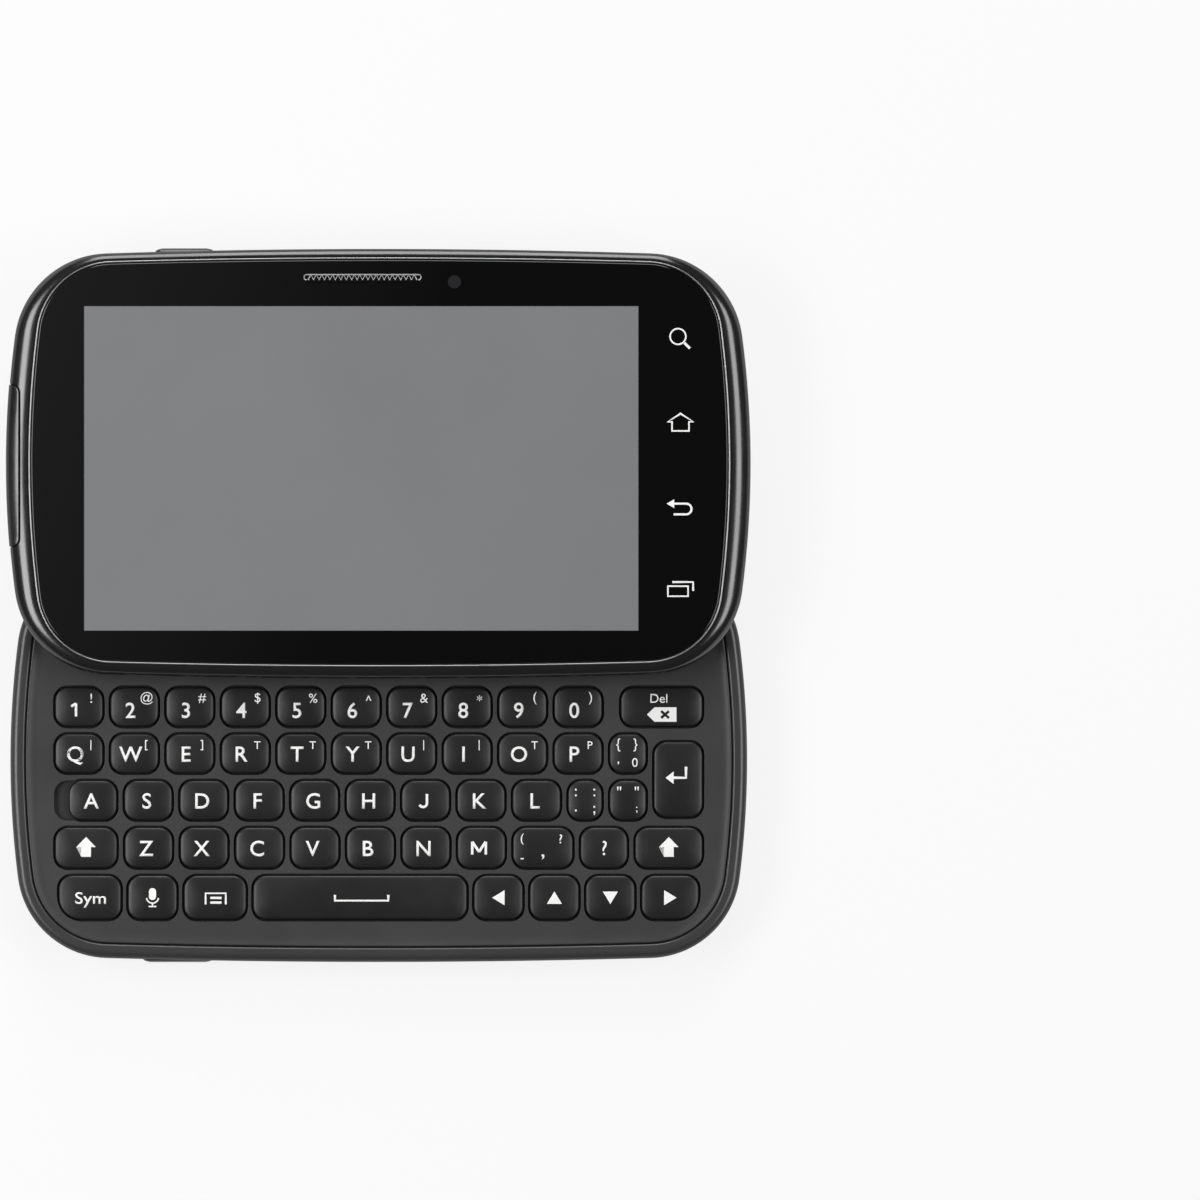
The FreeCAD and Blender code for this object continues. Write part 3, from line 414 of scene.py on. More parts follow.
def joined(name, pieces):
    """One object from several meshes, keeping their materials."""
    mesh = bmesh.new()
    materials = []
    for piece in pieces:
        start = len(mesh.faces)
        slots = [slot.material for slot in piece.material_slots]
        mesh.from_mesh(piece.data)
        mesh.faces.ensure_lookup_table()
        for face in mesh.faces[start:]:
            material = slots[face.material_index] if slots else None
            if material not in materials:
                materials.append(material)
            face.material_index = materials.index(material)
    for piece in pieces:
        bpy.data.objects.remove(piece)
    made = object_from(mesh, name)
    for material in materials:
        made.data.materials.append(material)
    return made


def smooth(made, angle=35.0):
    """Smooth shading with sharp edges kept past an angle."""
    for face in made.data.polygons:
        face.use_smooth = True
    made.data.set_sharp_from_angle(angle=math.radians(angle))
    return made


def weighted(made):
    """Normals weighted by face area, so that flats stay flat beside rounded edges."""
    made.modifiers.new("normals", "WEIGHTED_NORMAL").keep_sharp = True
    return finished_mesh(made)


def dress(made, material, body, slot, *nodes):
    """Gives a finished piece its material and body and hides the nodes it stands for; the slot is
    not used.
    """
    if material is not None:
        made.data.materials.clear()
        made.data.materials.append(material)
    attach(made, body)
    if nodes:
        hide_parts(*nodes)
    return made


def arc_levels(outline, first, last, count, place):
    """Rings along a roll; place turns an angle into (inset, height)."""
    steps = shape_settings().corner_steps
    levels = []
    for step in range(count + 1):
        turn = math.radians(first + (last - first) * step / count)
        inset, height = place(turn)
        levels.append((outline.points(inset, steps), height))
    return levels


def back_roll_place(turn):
    s = shape_settings()
    return s.back_roll * (1 - math.cos(turn)), s.widest * (1 - math.sin(turn))


def screen_back_place(turn):
    s = shape_settings()
    widest = BACK_LOW.z + s.back_rise
    return (s.screen_back_roll * (1 - math.cos(turn)),
            widest - s.back_rise * math.sin(turn))


def late_roll(first, last, count):
    """Shares of a roll's width and height when its first degrees stand upright."""
    start = math.radians(first)
    shares = []
    for step in range(count + 1):
        turn = math.radians(first + (last - first) * step / count)
        shares.append(((math.cos(start) - math.cos(turn)) / math.cos(start),
                       (math.sin(turn) - math.sin(start)) / (1 - math.sin(start))))
    return shares


def prism(name, points, low, high):
    """Upright prism."""
    return stacked(name, [(points, low), (points, high)])


def square_stack(name, middle, reach, corner, profile, steps=8, closed=False):
    """Rounded square drawn along a profile of (inset, height)."""
    return stacked(name, [(square_points(middle, reach - inset, corner - inset, steps), height)
                          for inset, height in profile], closed=closed)


# Shader node groups

def new_group(name, inputs, outputs):
    """Empty node group with named sockets."""
    group = bpy.data.node_groups.new(name, "ShaderNodeTree")
    for socket, kind, value in inputs:
        made = group.interface.new_socket(name=socket, in_out="INPUT", socket_type=kind)
        if value is not None:
            made.default_value = value
    for socket, kind in outputs:
        group.interface.new_socket(name=socket, in_out="OUTPUT", socket_type=kind)
    return group, group.nodes.new("NodeGroupInput"), group.nodes.new("NodeGroupOutput")


def add_node(tree, kind, operation=None, values=None):
    """New shader node with its operation and the values of its sockets."""
    made = tree.nodes.new("ShaderNode" + kind)
    if operation:
        made.operation = operation
    for socket, value in (values or {}).items():
        made.inputs[socket].default_value = value
    return made


def wire(tree, *rows):
    """Links, each given as (node, output, node, input)."""
    for source, output, target, entry in rows:
        tree.links.new(source.outputs[output], target.inputs[entry])


def colour_mix(tree, first=None, second=None):
    """Mix node for two colours."""
    made = tree.nodes.new("ShaderNodeMix")
    made.data_type = "RGBA"
    for socket, colour in (("A", first), ("B", second)):
        if colour is not None:
            made.inputs[socket].default_value = (*colour, 1.0)
    return made


def toned(colour, share):
    """Colour made lighter or darker."""
    return tuple(part * share for part in colour)


def moulded_grain_group():
    """Fine moulded texture: a roughness that drifts and a low grain height."""
    group, entry, leave = new_group(
        "moulded grain",
        (("Scale", "NodeSocketFloat", 9000.0), ("Smooth", "NodeSocketFloat", 0.3),
         ("Rough", "NodeSocketFloat", 0.45)),
        (("Roughness", "NodeSocketFloat"), ("Height", "NodeSocketFloat")))
    place = add_node(group, "TexCoord")
    fine = add_node(group, "TexNoise", values={"Detail": 3.0})
    broad = add_node(group, "TexNoise", values={"Scale": 90.0, "Detail": 4.0})
    spread = add_node(group, "MapRange", values={"From Min": 0.35, "From Max": 0.65})
    wire(group, (place, "Object", fine, "Vector"), (place, "Object", broad, "Vector"),
         (entry, "Scale", fine, "Scale"), (broad, "Fac", spread, "Value"),
         (entry, "Smooth", spread, "To Min"), (entry, "Rough", spread, "To Max"),
         (spread, "Result", leave, "Roughness"), (fine, "Fac", leave, "Height"))
    return group


def leather_grain_group():
    """Pebbled leather grain: warped cells with soft creases and a fine grain on top; its Shade
    output marks the creases, where the cover's colour is darkened as painted shade.
    """
    group, entry, leave = new_group(
        "leather grain", (("Scale", "NodeSocketFloat", 1500.0),),
        (("Height", "NodeSocketFloat"), ("Shade", "NodeSocketFloat")))
    place = add_node(group, "TexCoord")
    warp = add_node(group, "TexNoise", values={"Scale": 420.0, "Detail": 2.0})
    bent = add_node(group, "VectorMath", "MULTIPLY_ADD", {1: (0.0006, 0.0006, 0.0006)})
    cells = add_node(group, "TexVoronoi")
    cells.feature = "DISTANCE_TO_EDGE"
    crease = add_node(group, "MapRange", values={"From Max": 0.22})
    fine = add_node(group, "TexNoise", values={"Scale": 6500.0})
    total = add_node(group, "Math", "MULTIPLY_ADD", {1: 0.35})
    wire(group, (place, "Object", warp, "Vector"), (warp, "Color", bent, 0),
         (place, "Object", bent, 2), (bent, "Vector", cells, "Vector"),
         (entry, "Scale", cells, "Scale"), (cells, "Distance", crease, "Value"),
         (place, "Object", fine, "Vector"), (fine, "Fac", total, 0),
         (crease, "Result", total, 2), (total, "Value", leave, "Height"),
         (crease, "Result", leave, "Shade"))
    return group


def rectangle_mask_group():
    """White inside an upright rectangle of the plan."""
    group, entry, leave = new_group(
        "rectangle mask",
        (("Centre", "NodeSocketVector", None), ("Half Size", "NodeSocketVector", None),
         ("Softness", "NodeSocketFloat", 0.0001)),
        (("Mask", "NodeSocketFloat"),))
    place = add_node(group, "TexCoord")
    offset = add_node(group, "VectorMath", "SUBTRACT")
    size = add_node(group, "VectorMath", "ABSOLUTE")
    past = add_node(group, "VectorMath", "SUBTRACT")
    split = add_node(group, "SeparateXYZ")
    most = add_node(group, "Math", "MAXIMUM")
    edge = add_node(group, "Math", "DIVIDE")
    flip = add_node(group, "Math", "MULTIPLY_ADD", {1: -1.0, 2: 0.5})
    flip.use_clamp = True
    wire(group, (place, "Object", offset, 0), (entry, "Centre", offset, 1),
         (offset, "Vector", size, 0), (size, "Vector", past, 0),
         (entry, "Half Size", past, 1), (past, "Vector", split, "Vector"),
         (split, "X", most, 0), (split, "Y", most, 1), (most, "Value", edge, 0),
         (entry, "Softness", edge, 1), (edge, "Value", flip, 0),
         (flip, "Value", leave, "Mask"))
    return group


def brushed_group():
    """Fine brushed lines along X."""
    group, entry, leave = new_group(
        "brushed lines", (("Scale", "NodeSocketFloat", 4000.0),),
        (("Height", "NodeSocketFloat"),))
    place = add_node(group, "TexCoord")
    stretch = add_node(group, "Mapping", values={"Scale": (0.04, 1.0, 1.0)})
    noise = add_node(group, "TexNoise", values={"Detail": 2.0})
    wire(group, (place, "Object", stretch, "Vector"), (stretch, "Vector", noise, "Vector"),
         (entry, "Scale", noise, "Scale"), (noise, "Fac", leave, "Height"))
    return group


GROUP_MAKERS = {"moulded grain": moulded_grain_group, "leather grain": leather_grain_group,
                "rectangle mask": rectangle_mask_group, "brushed lines": brushed_group}
GROUPS = {}


def placed_group(tree, name, **values):
    """Puts a shared group, built on first use, into a material with its own values."""
    if name not in GROUPS:
        GROUPS[name] = GROUP_MAKERS[name]()
    node = tree.nodes.new("ShaderNodeGroup")
    node.node_tree = GROUPS[name]
    for socket, value in values.items():
        node.inputs[socket.replace("_", " ")].default_value = value
    return node


# Materials

def plain_material(name, colour, metallic=0.0):
    """Material with one principled shader."""
    material = bpy.data.materials.new(name)
    material.use_nodes = True
    shader = material.node_tree.nodes["Principled BSDF"]
    shader.inputs["Base Color"].default_value = (*colour, 1.0)
    shader.inputs["Metallic"].default_value = metallic
    material.diffuse_color = (*colour, 1.0)
    return material, material.node_tree, shader


def bumped(tree, shader, grain, strength, distance):
    """Feeds a group's height to the shader's normal."""
    bump = add_node(tree, "Bump", values={"Strength": strength, "Distance": distance})
    wire(tree, (grain, "Height", bump, "Height"), (bump, "Normal", shader, "Normal"))


def moulded(name, colour, smooth_end, rough_end, bump=0.05, scale=9000.0, metallic=0.0):
    """Moulded plastic or metal with a fine grain."""
    material, tree, shader = plain_material(name, colour, metallic)
    grain = placed_group(tree, "moulded grain", Scale=scale, Smooth=smooth_end,
                         Rough=rough_end)
    wire(tree, (grain, "Roughness", shader, "Roughness"))
    bumped(tree, shader, grain, bump, 0.00002)
    return material


def glossier(material, index):
    """Raises a plastic's reflectance."""
    material.node_tree.nodes["Principled BSDF"].inputs["IOR"].default_value = index
    return material


def leather_material(name, colour):
    """Soft-touch coating with a leather grain, its colour darkened in the grain's creases as
    painted shade.
    """
    material, tree, shader = plain_material(name, colour)
    grain = placed_group(tree, "leather grain", Scale=1500.0)
    # Painted shade: the colour drops to 0.62 of itself in the grain's creases and rises to 1.12 on
    # the raised cells.
    shade = colour_mix(tree, toned(colour, 0.62), toned(colour, 1.12))
    finish = placed_group(tree, "moulded grain", Scale=5000.0, Smooth=0.44, Rough=0.52)
    wire(tree, (grain, "Shade", shade, "Factor"), (shade, "Result", shader, "Base Color"),
         (finish, "Roughness", shader, "Roughness"))
    bumped(tree, shader, grain, 0.35, 0.00003)
    shader.inputs["Sheen Weight"].default_value = 0.06
    return material


def glass_front_material(name, border, display):
    """Black-backed cover glass with the grey display showing through its window; the black border
    carries a painted sheen, lighter towards the top left.
    """
    material, tree, shader = plain_material(name, border)
    centre = (LCD_LOW + LCD_HIGH) / 2 * MM
    half = (LCD_HIGH - LCD_LOW) / 2 - Vector(DISPLAY_INSET)
    mask = placed_group(tree, "rectangle mask", Centre=(centre.x, centre.y, 0.0),
                        Half_Size=(half.x * MM, half.y * MM, 1.0), Softness=0.00012)
    place = add_node(tree, "TexCoord")
    cloud = add_node(tree, "TexNoise", values={"Scale": 45.0, "Detail": 4.0})
    tone = colour_mix(tree, toned(display, 0.94), toned(display, 1.05))
    # Painted sheen on the border: full border colour towards the top left, falling to 0.12 of it
    # elsewhere.
    painted_sheen_slope = add_node(tree, "VectorMath", "DOT_PRODUCT", {1: (-1.0, 0.35, 0.0)})
    painted_sheen_fade = add_node(tree, "MapRange", values={"From Min": 0.015, "From Max": 0.082})
    behind = colour_mix(tree, toned(border, 0.12), border)
    colour = colour_mix(tree)
    smudge = placed_group(tree, "moulded grain", Scale=400.0, Smooth=0.05, Rough=0.09)
    wire(tree, (place, "Object", painted_sheen_slope, 0), (painted_sheen_slope, "Value", painted_sheen_fade, "Value"),
         (painted_sheen_fade, "Result", behind, "Factor"), (behind, "Result", colour, "A"),
         (place, "Object", cloud, "Vector"), (cloud, "Fac", tone, "Factor"),
         (mask, "Mask", colour, "Factor"), (tone, "Result", colour, "B"),
         (colour, "Result", shader, "Base Color"),
         (smudge, "Roughness", shader, "Roughness"))
    shader.inputs["IOR"].default_value = 1.5
    return material


def metal_material(name, colour, roughness, scale=4000.0, strength=0.1):
    """Polished or brushed metal."""
    material, tree, shader = plain_material(name, colour, 1.0)
    lines = placed_group(tree, "brushed lines", Scale=scale)
    shader.inputs["Roughness"].default_value = roughness
    bumped(tree, shader, lines, strength, 0.00001)
    return material


def clear_material(name, colour):
    """Clear moulded lens."""
    material, tree, shader = plain_material(name, colour)
    shader.inputs["Transmission Weight"].default_value = 1.0
    shader.inputs["IOR"].default_value = 1.49
    grain = placed_group(tree, "moulded grain", Scale=900.0, Smooth=0.03, Rough=0.08)
    wire(tree, (grain, "Roughness", shader, "Roughness"))
    bumped(tree, shader, grain, 0.15, 0.00004)
    return material


MATERIALS = {}


def make_materials():
    """All finishes of the phone."""
    c = colour_settings()
    MATERIALS.update({
        "cover": leather_material("soft touch leather grain", c.cover),
        "satin": moulded("satin housing", c.housing, 0.30, 0.38, 0.08),
        "gloss": glossier(moulded("gloss housing", c.housing, 0.16, 0.22, 0.02), 1.7),
        "deck": moulded("deck plastic", c.deck, 0.34, 0.42, 0.10),
        "rim": moulded("keypad rim", c.deck, 0.28, 0.34, 0.05),
        "key": moulded("key caps", c.key, 0.37, 0.44, 0.05),
        "legend": moulded("printed legends", c.legend, 0.50, 0.62, 0.05),
        "control": glossier(moulded("side keys", c.housing, 0.20, 0.27, 0.03), 1.7),
        "trim": metal_material("bright trim", (0.36, 0.36, 0.365), 0.36, 3000.0, 0.02),
        "glass": glass_front_material("cover glass", c.glass, c.display),
        "grille": moulded("grille steel", (0.46, 0.46, 0.47), 0.30, 0.38, 0.05),
        "dark": moulded("black module", (0.006, 0.006, 0.006), 0.5, 0.6, 0.05),
        "lens": moulded("camera glass", (0.004, 0.004, 0.0045), 0.03, 0.06, 0.0),
        "lens_grey": metal_material("lens barrel", (0.14, 0.14, 0.145), 0.34, 3000.0, 0.02),
        "sensor": moulded("sensor window", (0.016, 0.016, 0.018), 0.10, 0.15, 0.0),
        "steel": metal_material("pressed steel", (0.55, 0.55, 0.57), 0.32),
        "alloy": moulded("cast alloy", (0.45, 0.46, 0.48), 0.4, 0.5, 0.2, 3000.0, 1.0),
        "board": moulded("solder mask", (0.012, 0.085, 0.035), 0.3, 0.42, 0.1, 3000.0),
        "battery": moulded("battery wrap", (0.07, 0.07, 0.08), 0.4, 0.5, 0.05),
        "silicone": moulded("silicone", (0.012, 0.012, 0.012), 0.5, 0.6, 0.1),
        "clear": clear_material("flash lens", (0.93, 0.93, 0.90)),
        "phosphor": moulded("phosphor", (0.85, 0.72, 0.20), 0.5, 0.6, 0.1),
        "shoe": moulded("slide plastic", (0.12, 0.12, 0.12), 0.4, 0.5, 0.1),
    })


SLOT_FINISH = {
    "soft_touch_cover": "cover", "satin_housing": "satin", "gloss_housing": "gloss",
    "deck_plastic": "deck", "key_plastic": "key", "control_plastic": "control",
    "silicone": "silicone", "circuit_board": "board", "pressed_steel": "steel",
    "cast_magnesium": "alloy", "bright_trim": "trim", "cover_glass": "glass",
    "camera_glass": "lens", "clear_lens": "clear", "display_grey": "dark",
    "battery_wrap": "battery", "black_module": "dark", "phosphor": "phosphor",
    "grille_steel": "grille", "slide_plastic": "shoe",
}


def paint_frame():
    """Gives every node of the frame its finish."""
    slots = {row["node"]: row["material_slot"] for row in frame["record"]["subparts"]}
    for node, made in frame["nodes"].items():
        made.data.materials.clear()
        made.data.materials.append(MATERIALS[SLOT_FINISH[slots[node]]])


# Keyboard half

CUT_PAST = 1.0
CAMERA_RING_WIDTH = 1.18
CAMERA_RING_CORNER = 4.3
CAMERA_PANE_GAP = 0.03
CAMERA_RECESS_GAP = 0.47
FLASH_REACH = 2.65
FLASH_CORNER = 1.5
FLASH_RECESS_GAP = 0.45
SPEAKER_PITCH = 2.22
SPEAKER_HALF_SLOT = Vector((0.725, 3.325))
SPEAKER_SLOT_CORNER = 0.35
JACK_HOLE_RADIUS = 2.42
JACK_SCOOP_DEPTH = 1.9
JACK_SCOOP_REACH = 3.35
JACK_SCOOP_CORNER = 1.4
COVER_FLOOR = 1.0
SIDE_KEY_GAP = 0.12
SIDE_KEY_CORNER = 0.92


def rear_openings():
    """Cutters for the camera, the flash and the loudspeaker's three slots."""
    low, high = node_box("camera_window")
    reach = (high.x - low.x) / 2 + CAMERA_PANE_GAP + CAMERA_RING_WIDTH + CAMERA_RECESS_GAP
    plans = [square_points(node_middle("camera_ring"), reach,
                           CAMERA_RING_CORNER + CAMERA_RECESS_GAP, 12),
             square_points(node_middle("flash_led"), FLASH_REACH + FLASH_RECESS_GAP,
                           FLASH_CORNER + FLASH_RECESS_GAP, 10)]
    speaker = node_middle("loudspeaker").xy
    for place in (-1, 0, 1):
        middle = speaker + Vector((place * SPEAKER_PITCH, 0))
        plans.append(box_points(middle - SPEAKER_HALF_SLOT, middle + SPEAKER_HALF_SLOT, 0.0,
                                [SPEAKER_SLOT_CORNER] * 4, 5))
    return [prism("cut", plan, -CUT_PAST, COVER_FLOOR + CUT_PAST) for plan in plans]


def jack_cutter():
    """Round bar along X through the end wall at the headphone socket."""
    mount = next(row for row in frame["record"]["mounts"] if row["name"] == "headphone_bore")
    low_x, high_x = -BASE_HALF_X - 1, -BASE_HALF_X + 6
    place = Vector(((low_x + high_x) / 2, node_middle("headphone_jack").y,
                    mount["pos_m"][2] / MM)) * MM
    mesh = bmesh.new()
    bmesh.ops.create_cone(mesh, cap_ends=True, segments=48, radius1=JACK_HOLE_RADIUS * MM,
                          radius2=JACK_HOLE_RADIUS * MM, depth=(high_x - low_x) * MM,
                          matrix=Matrix.Translation(place)
                          @ Matrix.Rotation(math.radians(90), 4, "Y"))
    return object_from(mesh, "cut")


def back_roll_turn(height):
    """Angle of the back roll at a height, in degrees."""
    return math.degrees(math.asin(1 - height / shape_settings().widest))


def make_rear_cover():
    """Smooth rear cover with its camera, flash, speaker and jack openings."""
    outline = base_outline()
    steps = shape_settings().corner_steps
    seam = back_roll_turn(COVER_HIGH.z)
    outside = arc_levels(outline, 90, seam, 16, back_roll_place)
    floor = back_roll_place(math.radians(back_roll_turn(COVER_FLOOR)))[0] + 1.75
    rim = back_roll_place(math.radians(seam))[0] + 1.05
    inside = [(outline.points(rim, steps), COVER_HIGH.z),
              (outline.points((floor + rim) / 2 - 0.35, steps), 1.7),
              (outline.points(floor, steps), COVER_FLOOR)]
    made = stacked("rear_cover_shell", outside + inside)
    middle_y = node_middle("headphone_jack").y
    scoop = prism("cut", rectangle_points(
        -BASE_HALF_X - 2, -BASE_HALF_X + JACK_SCOOP_DEPTH, middle_y - JACK_SCOOP_REACH,
        middle_y + JACK_SCOOP_REACH, [JACK_SCOOP_CORNER] * 4), -CUT_PAST,
        COVER_HIGH.z + CUT_PAST)
    carve(made, rear_openings() + [scoop, jack_cutter()])
    weighted(smooth(made, 40))
    dress(made, MATERIALS["cover"], "base", "soft_touch_cover", "rear_cover")


def make_jack():
    """Headphone socket whose face keeps inside the bowed end."""
    mesh = merged_copy("headphone_jack")
    face = -BASE_HALF_X + shape_settings().jack_setback
    for vert in mesh.verts:
        vert.co.x = max(vert.co.x, face * MM)
    made = smooth(object_from(mesh, "jack_socket"), 30)
    dress(made, MATERIALS["dark"], "base", "black_module", "headphone_jack")


def make_base_frame():
    """Side band of the keyboard half with its pockets."""
    outline = base_outline()
    steps = shape_settings().corner_steps
    outside = arc_levels(outline, back_roll_turn(FRAME_LOW.z), 0, 6, back_roll_place)
    inner = outline.points(3.2, steps)
    outside += [(outline.points(0.01, steps), FRAME_HIGH.z - 0.10),
                (outline.points(0.08, steps), FRAME_HIGH.z)]
    made = stacked("side_band", outside + [(inner, FRAME_HIGH.z), (inner, FRAME_LOW.z)],
                   closed=True)
    low, high = node_box("shutter_key")
    key = side_bar("cut", low, high, SIDE_KEY_GAP, -BASE_HALF_Y - 2, high.y + 0.5,
                   SIDE_KEY_CORNER)
    low, high = node_box("port_cover")
    pin = Vector((0.6, 0.0, 0.0))
    flap = side_bar("cut", low + pin, high - pin, SIDE_KEY_GAP, -BASE_HALF_Y - 2,
                    high.y + SIDE_KEY_GAP, 0.45)
    carve(made, [key, flap, jack_cutter()])
    smooth(made, 40)
    dress(made, MATERIALS["satin"], "base", "satin_housing", "base_frame")


ALONG_Y = Matrix(((1, 0, 0, 0), (0, 0, 1, 0), (0, -1, 0, 0), (0, 0, 0, 1)))


def side_bar(name, low, high, gap, low_y, high_y, corner):
    """Rounded bar along Y whose section is a box seen from the side, grown by a gap."""
    made = prism(name, rectangle_points(low.x - gap, high.x + gap, -high.z - gap, -low.z + gap,
                                        [corner] * 4), low_y, high_y)
    made.data.transform(ALONG_Y)
    return made


RIM_LIP = ((0.36, 0.0), (0.24, 0.03), (0.12, 0.11), (0.04, 0.22), (0.0, 0.36))


def make_keypad_bezel():
    """Front rim of the keyboard half."""
    s = shape_settings()
    outline = base_outline()
    steps = s.corner_steps
    base = BEZEL_LOW.z + 0.12
    levels = [(outline.points(0.08, steps), BEZEL_LOW.z),
              (outline.points(0.01, steps), BEZEL_LOW.z + 0.07)]
    for across, up in late_roll(s.rim_start, 88, 12):
        levels.append((outline.points(s.front_roll * across + 0.01, steps),
                       base + (BEZEL_HIGH.z - base) * up))
    for back, drop in RIM_LIP:
        levels.append((outline.points(s.rim_inset - back, steps), BEZEL_HIGH.z - drop))
    levels.append((outline.points(s.rim_inset, steps), BEZEL_LOW.z))
    made = smooth(stacked("keypad_rim", levels, closed=True), 50)
    dress(made, MATERIALS["rim"], "base", "gloss_housing", "keypad_bezel")


KEY_NODES = sorted(row["node"] for row in frame["record"]["subparts"]
                   if row["material_slot"] == "key_plastic")
DECK_LIP = ((0.0, 0.02), (0.04, 0.15), (0.12, 0.225), (0.20, 0.245), (0.32, 0.225),
            (0.60, 0.145), (0.95, 0.070), (1.35, 0.020), (1.80, 0.0))
WELL_CHAMFER = ((0.0, -0.05), (0.02, -0.015), (0.06, 0.0), (0.06, 1.0))


def key_radii(node):
    """Corner radii of a key, larger at the keyboard's lower outer corners."""
    s = shape_settings()
    left = s.outer_key_corner if node == "symbol_key" else s.key_corner
    right = s.outer_key_corner if node == "right_arrow_key" else s.key_corner
    return [left, right, s.key_corner, s.key_corner]


def key_wells(top):
    """Cutter for every key's well."""
    gap = shape_settings().well_gap
    wells = []
    for node in KEY_NODES:
        for low, high in islands(node):
            rings = []
            for grow, height in ((0.0, DECK_LOW.z - 1 - top),) + WELL_CHAMFER:
                reach = gap + grow
                rings.append((box_points(low, high, reach, [r + reach for r in key_radii(node)],
                                         7), top + height))
            wells.append(stacked("well", rings))
    return joined("wells", wells)


def blank_pockets(top):
    """Cutters for the shallow pockets beside the home row and the top row."""
    shift_low, _ = node_box("left_shift_key")
    home_low, home_high = node_box("middle_letter_keys")
    number_low, number_high = node_box("number_keys")
    home = rectangle_points(shift_low.x - 0.1, home_low.x + 3.0, home_low.y, home_high.y,
                            [shape_settings().key_corner] * 4)
    number = rectangle_points(number_high.x - 2.0, number_high.x + 1.9, number_low.y + 0.3,
                              number_high.y - 0.3, [0.8] * 4)
    return [prism("cut", home, top - 0.80, top + 1), prism("cut", number, top - 0.02, top + 1)]


def make_deck():
    """Deck plate with a raised edge, wells and two blank pockets; the well walls and the deep
    pocket's floor take the dark key colour as painted shade.
    """
    s = shape_settings()
    outline = base_outline()
    edge = s.rim_inset + s.deck_gap
    top = DECK_HIGH.z
    levels = [(outline.points(edge, s.corner_steps), DECK_LOW.z)]
    for inset, height in DECK_LIP:
        levels.append((outline.points(edge + inset, s.corner_steps), top + height))
    made = stacked("deck_plate", levels)
    carve(made, [key_wells(top)] + blank_pockets(top))
    weighted(smooth(made, 40))
    dress(made, MATERIALS["deck"], "base", "deck_plastic", "keyboard_deck")
    # Painted shade: every face a little below the deck's top, on the walls of the wells and the
    # floor of the pocket beside the home row, takes the dark key colour.
    made.data.materials.append(MATERIALS["key"])
    for face in made.data.polygons:
        if face.center.z < (top - s.painted_shade_depth) * MM:
            face.material_index = 1


def cap_mesh(node, low, high):
    """Key cap with rounded shoulders and a domed top."""
    s = shape_settings()
    roll = s.key_roll
    shoulder = high.z - s.key_dome - roll
    levels = [(0.0, low.z), (0.0, shoulder)]
    for step in range(1, 6):
        turn = math.radians(78 * step / 5)
        levels.append((roll * (1 - math.cos(turn)), shoulder + roll * math.sin(turn)))
    edge, rim = levels[-1]
    half_width = min(high.x - low.x, high.y - low.y) / 2
    crown = half_width - edge - 0.25
    for step in range(1, 8):
        share = step / 7
        levels.append((edge + crown * share, rim + (high.z - rim) * share * (2 - share)))
    rings = []
    for inset, height in levels:
        corners = [min(max(r - inset * 0.6, 0.15), half_width - inset - 0.02)
                   for r in key_radii(node)]
        rings.append((box_points(low, high, -inset, corners, 7), height))
    return stacked("cap", rings)


# Legends, placed in millimetres from the middle of their key

CAP_SHARE = 0.729
INK = 0.012
STROKE = 0.42
DRAPE_CELL = 0.5


def mesh_of_curve(curve):
    """Flat mesh of a text or curve."""
    made = bpy.data.objects.new("mark", curve)
    bpy.context.scene.collection.objects.link(made)
    bpy.context.view_layer.update()
    graph = bpy.context.evaluated_depsgraph_get()
    data = bpy.data.meshes.new_from_object(made.evaluated_get(graph))
    bpy.data.objects.remove(made)
    return data


def object_of(data):
    """Mark in the scene from its mesh."""
    made = bpy.data.objects.new("mark", data)
    bpy.context.scene.collection.objects.link(made)
    return made


def thickened(made):
    """Gives flat ink a thickness of a few microns, upwards."""
    mesh = bmesh.new()
    mesh.from_mesh(made.data)
    bmesh.ops.remove_doubles(mesh, verts=mesh.verts, dist=1e-8)
    bmesh.ops.recalc_face_normals(mesh, faces=mesh.faces)
    for face in mesh.faces:
        if face.normal.z < 0:
            face.normal_flip()
    grown = bmesh.ops.extrude_face_region(mesh, geom=list(mesh.faces), use_keep_orig=True)
    lifted = [v for v in grown["geom"] if isinstance(v, bmesh.types.BMVert)]
    bmesh.ops.translate(mesh, verts=lifted, vec=(0, 0, INK * MM))
    bmesh.ops.recalc_face_normals(mesh, faces=mesh.faces)
    mesh.to_mesh(made.data)
    mesh.free()
    return made


def text_mark(text, x, y, height, size, boxed=True, weight=0.0, squeeze=1.0):
    """Lettering of a capital height, centred by its own box or by its capitals."""
    curve = bpy.data.curves.new("mark", "FONT")
    curve.body = text
    curve.size = 1.0
    curve.align_x = "CENTER"
    curve.offset = weight
    curve.resolution_u = 4
    data = mesh_of_curve(curve)
    xs = [v.co.x for v in data.vertices]
    ys = [v.co.y for v in data.vertices]
    scale = size / CAP_SHARE * MM
    middle_y = (min(ys) + max(ys)) / 2 if boxed else CAP_SHARE / 2
    data.transform(Matrix.Translation((x * MM, y * MM, height * MM))
                   @ Matrix.Diagonal((scale * squeeze, scale, 1, 1))
                   @ Matrix.Translation((-(min(xs) + max(xs)) / 2, -middle_y, 0)))
    return thickened(object_of(data))


def filled_mark(points, height):
    """Filled shape from points in millimetres."""
    mesh = bmesh.new()
    mesh.faces.new([mesh.verts.new((x * MM, y * MM, height * MM)) for x, y in points])
    bmesh.ops.triangulate(mesh, faces=mesh.faces)
    return thickened(object_from(mesh, "mark"))


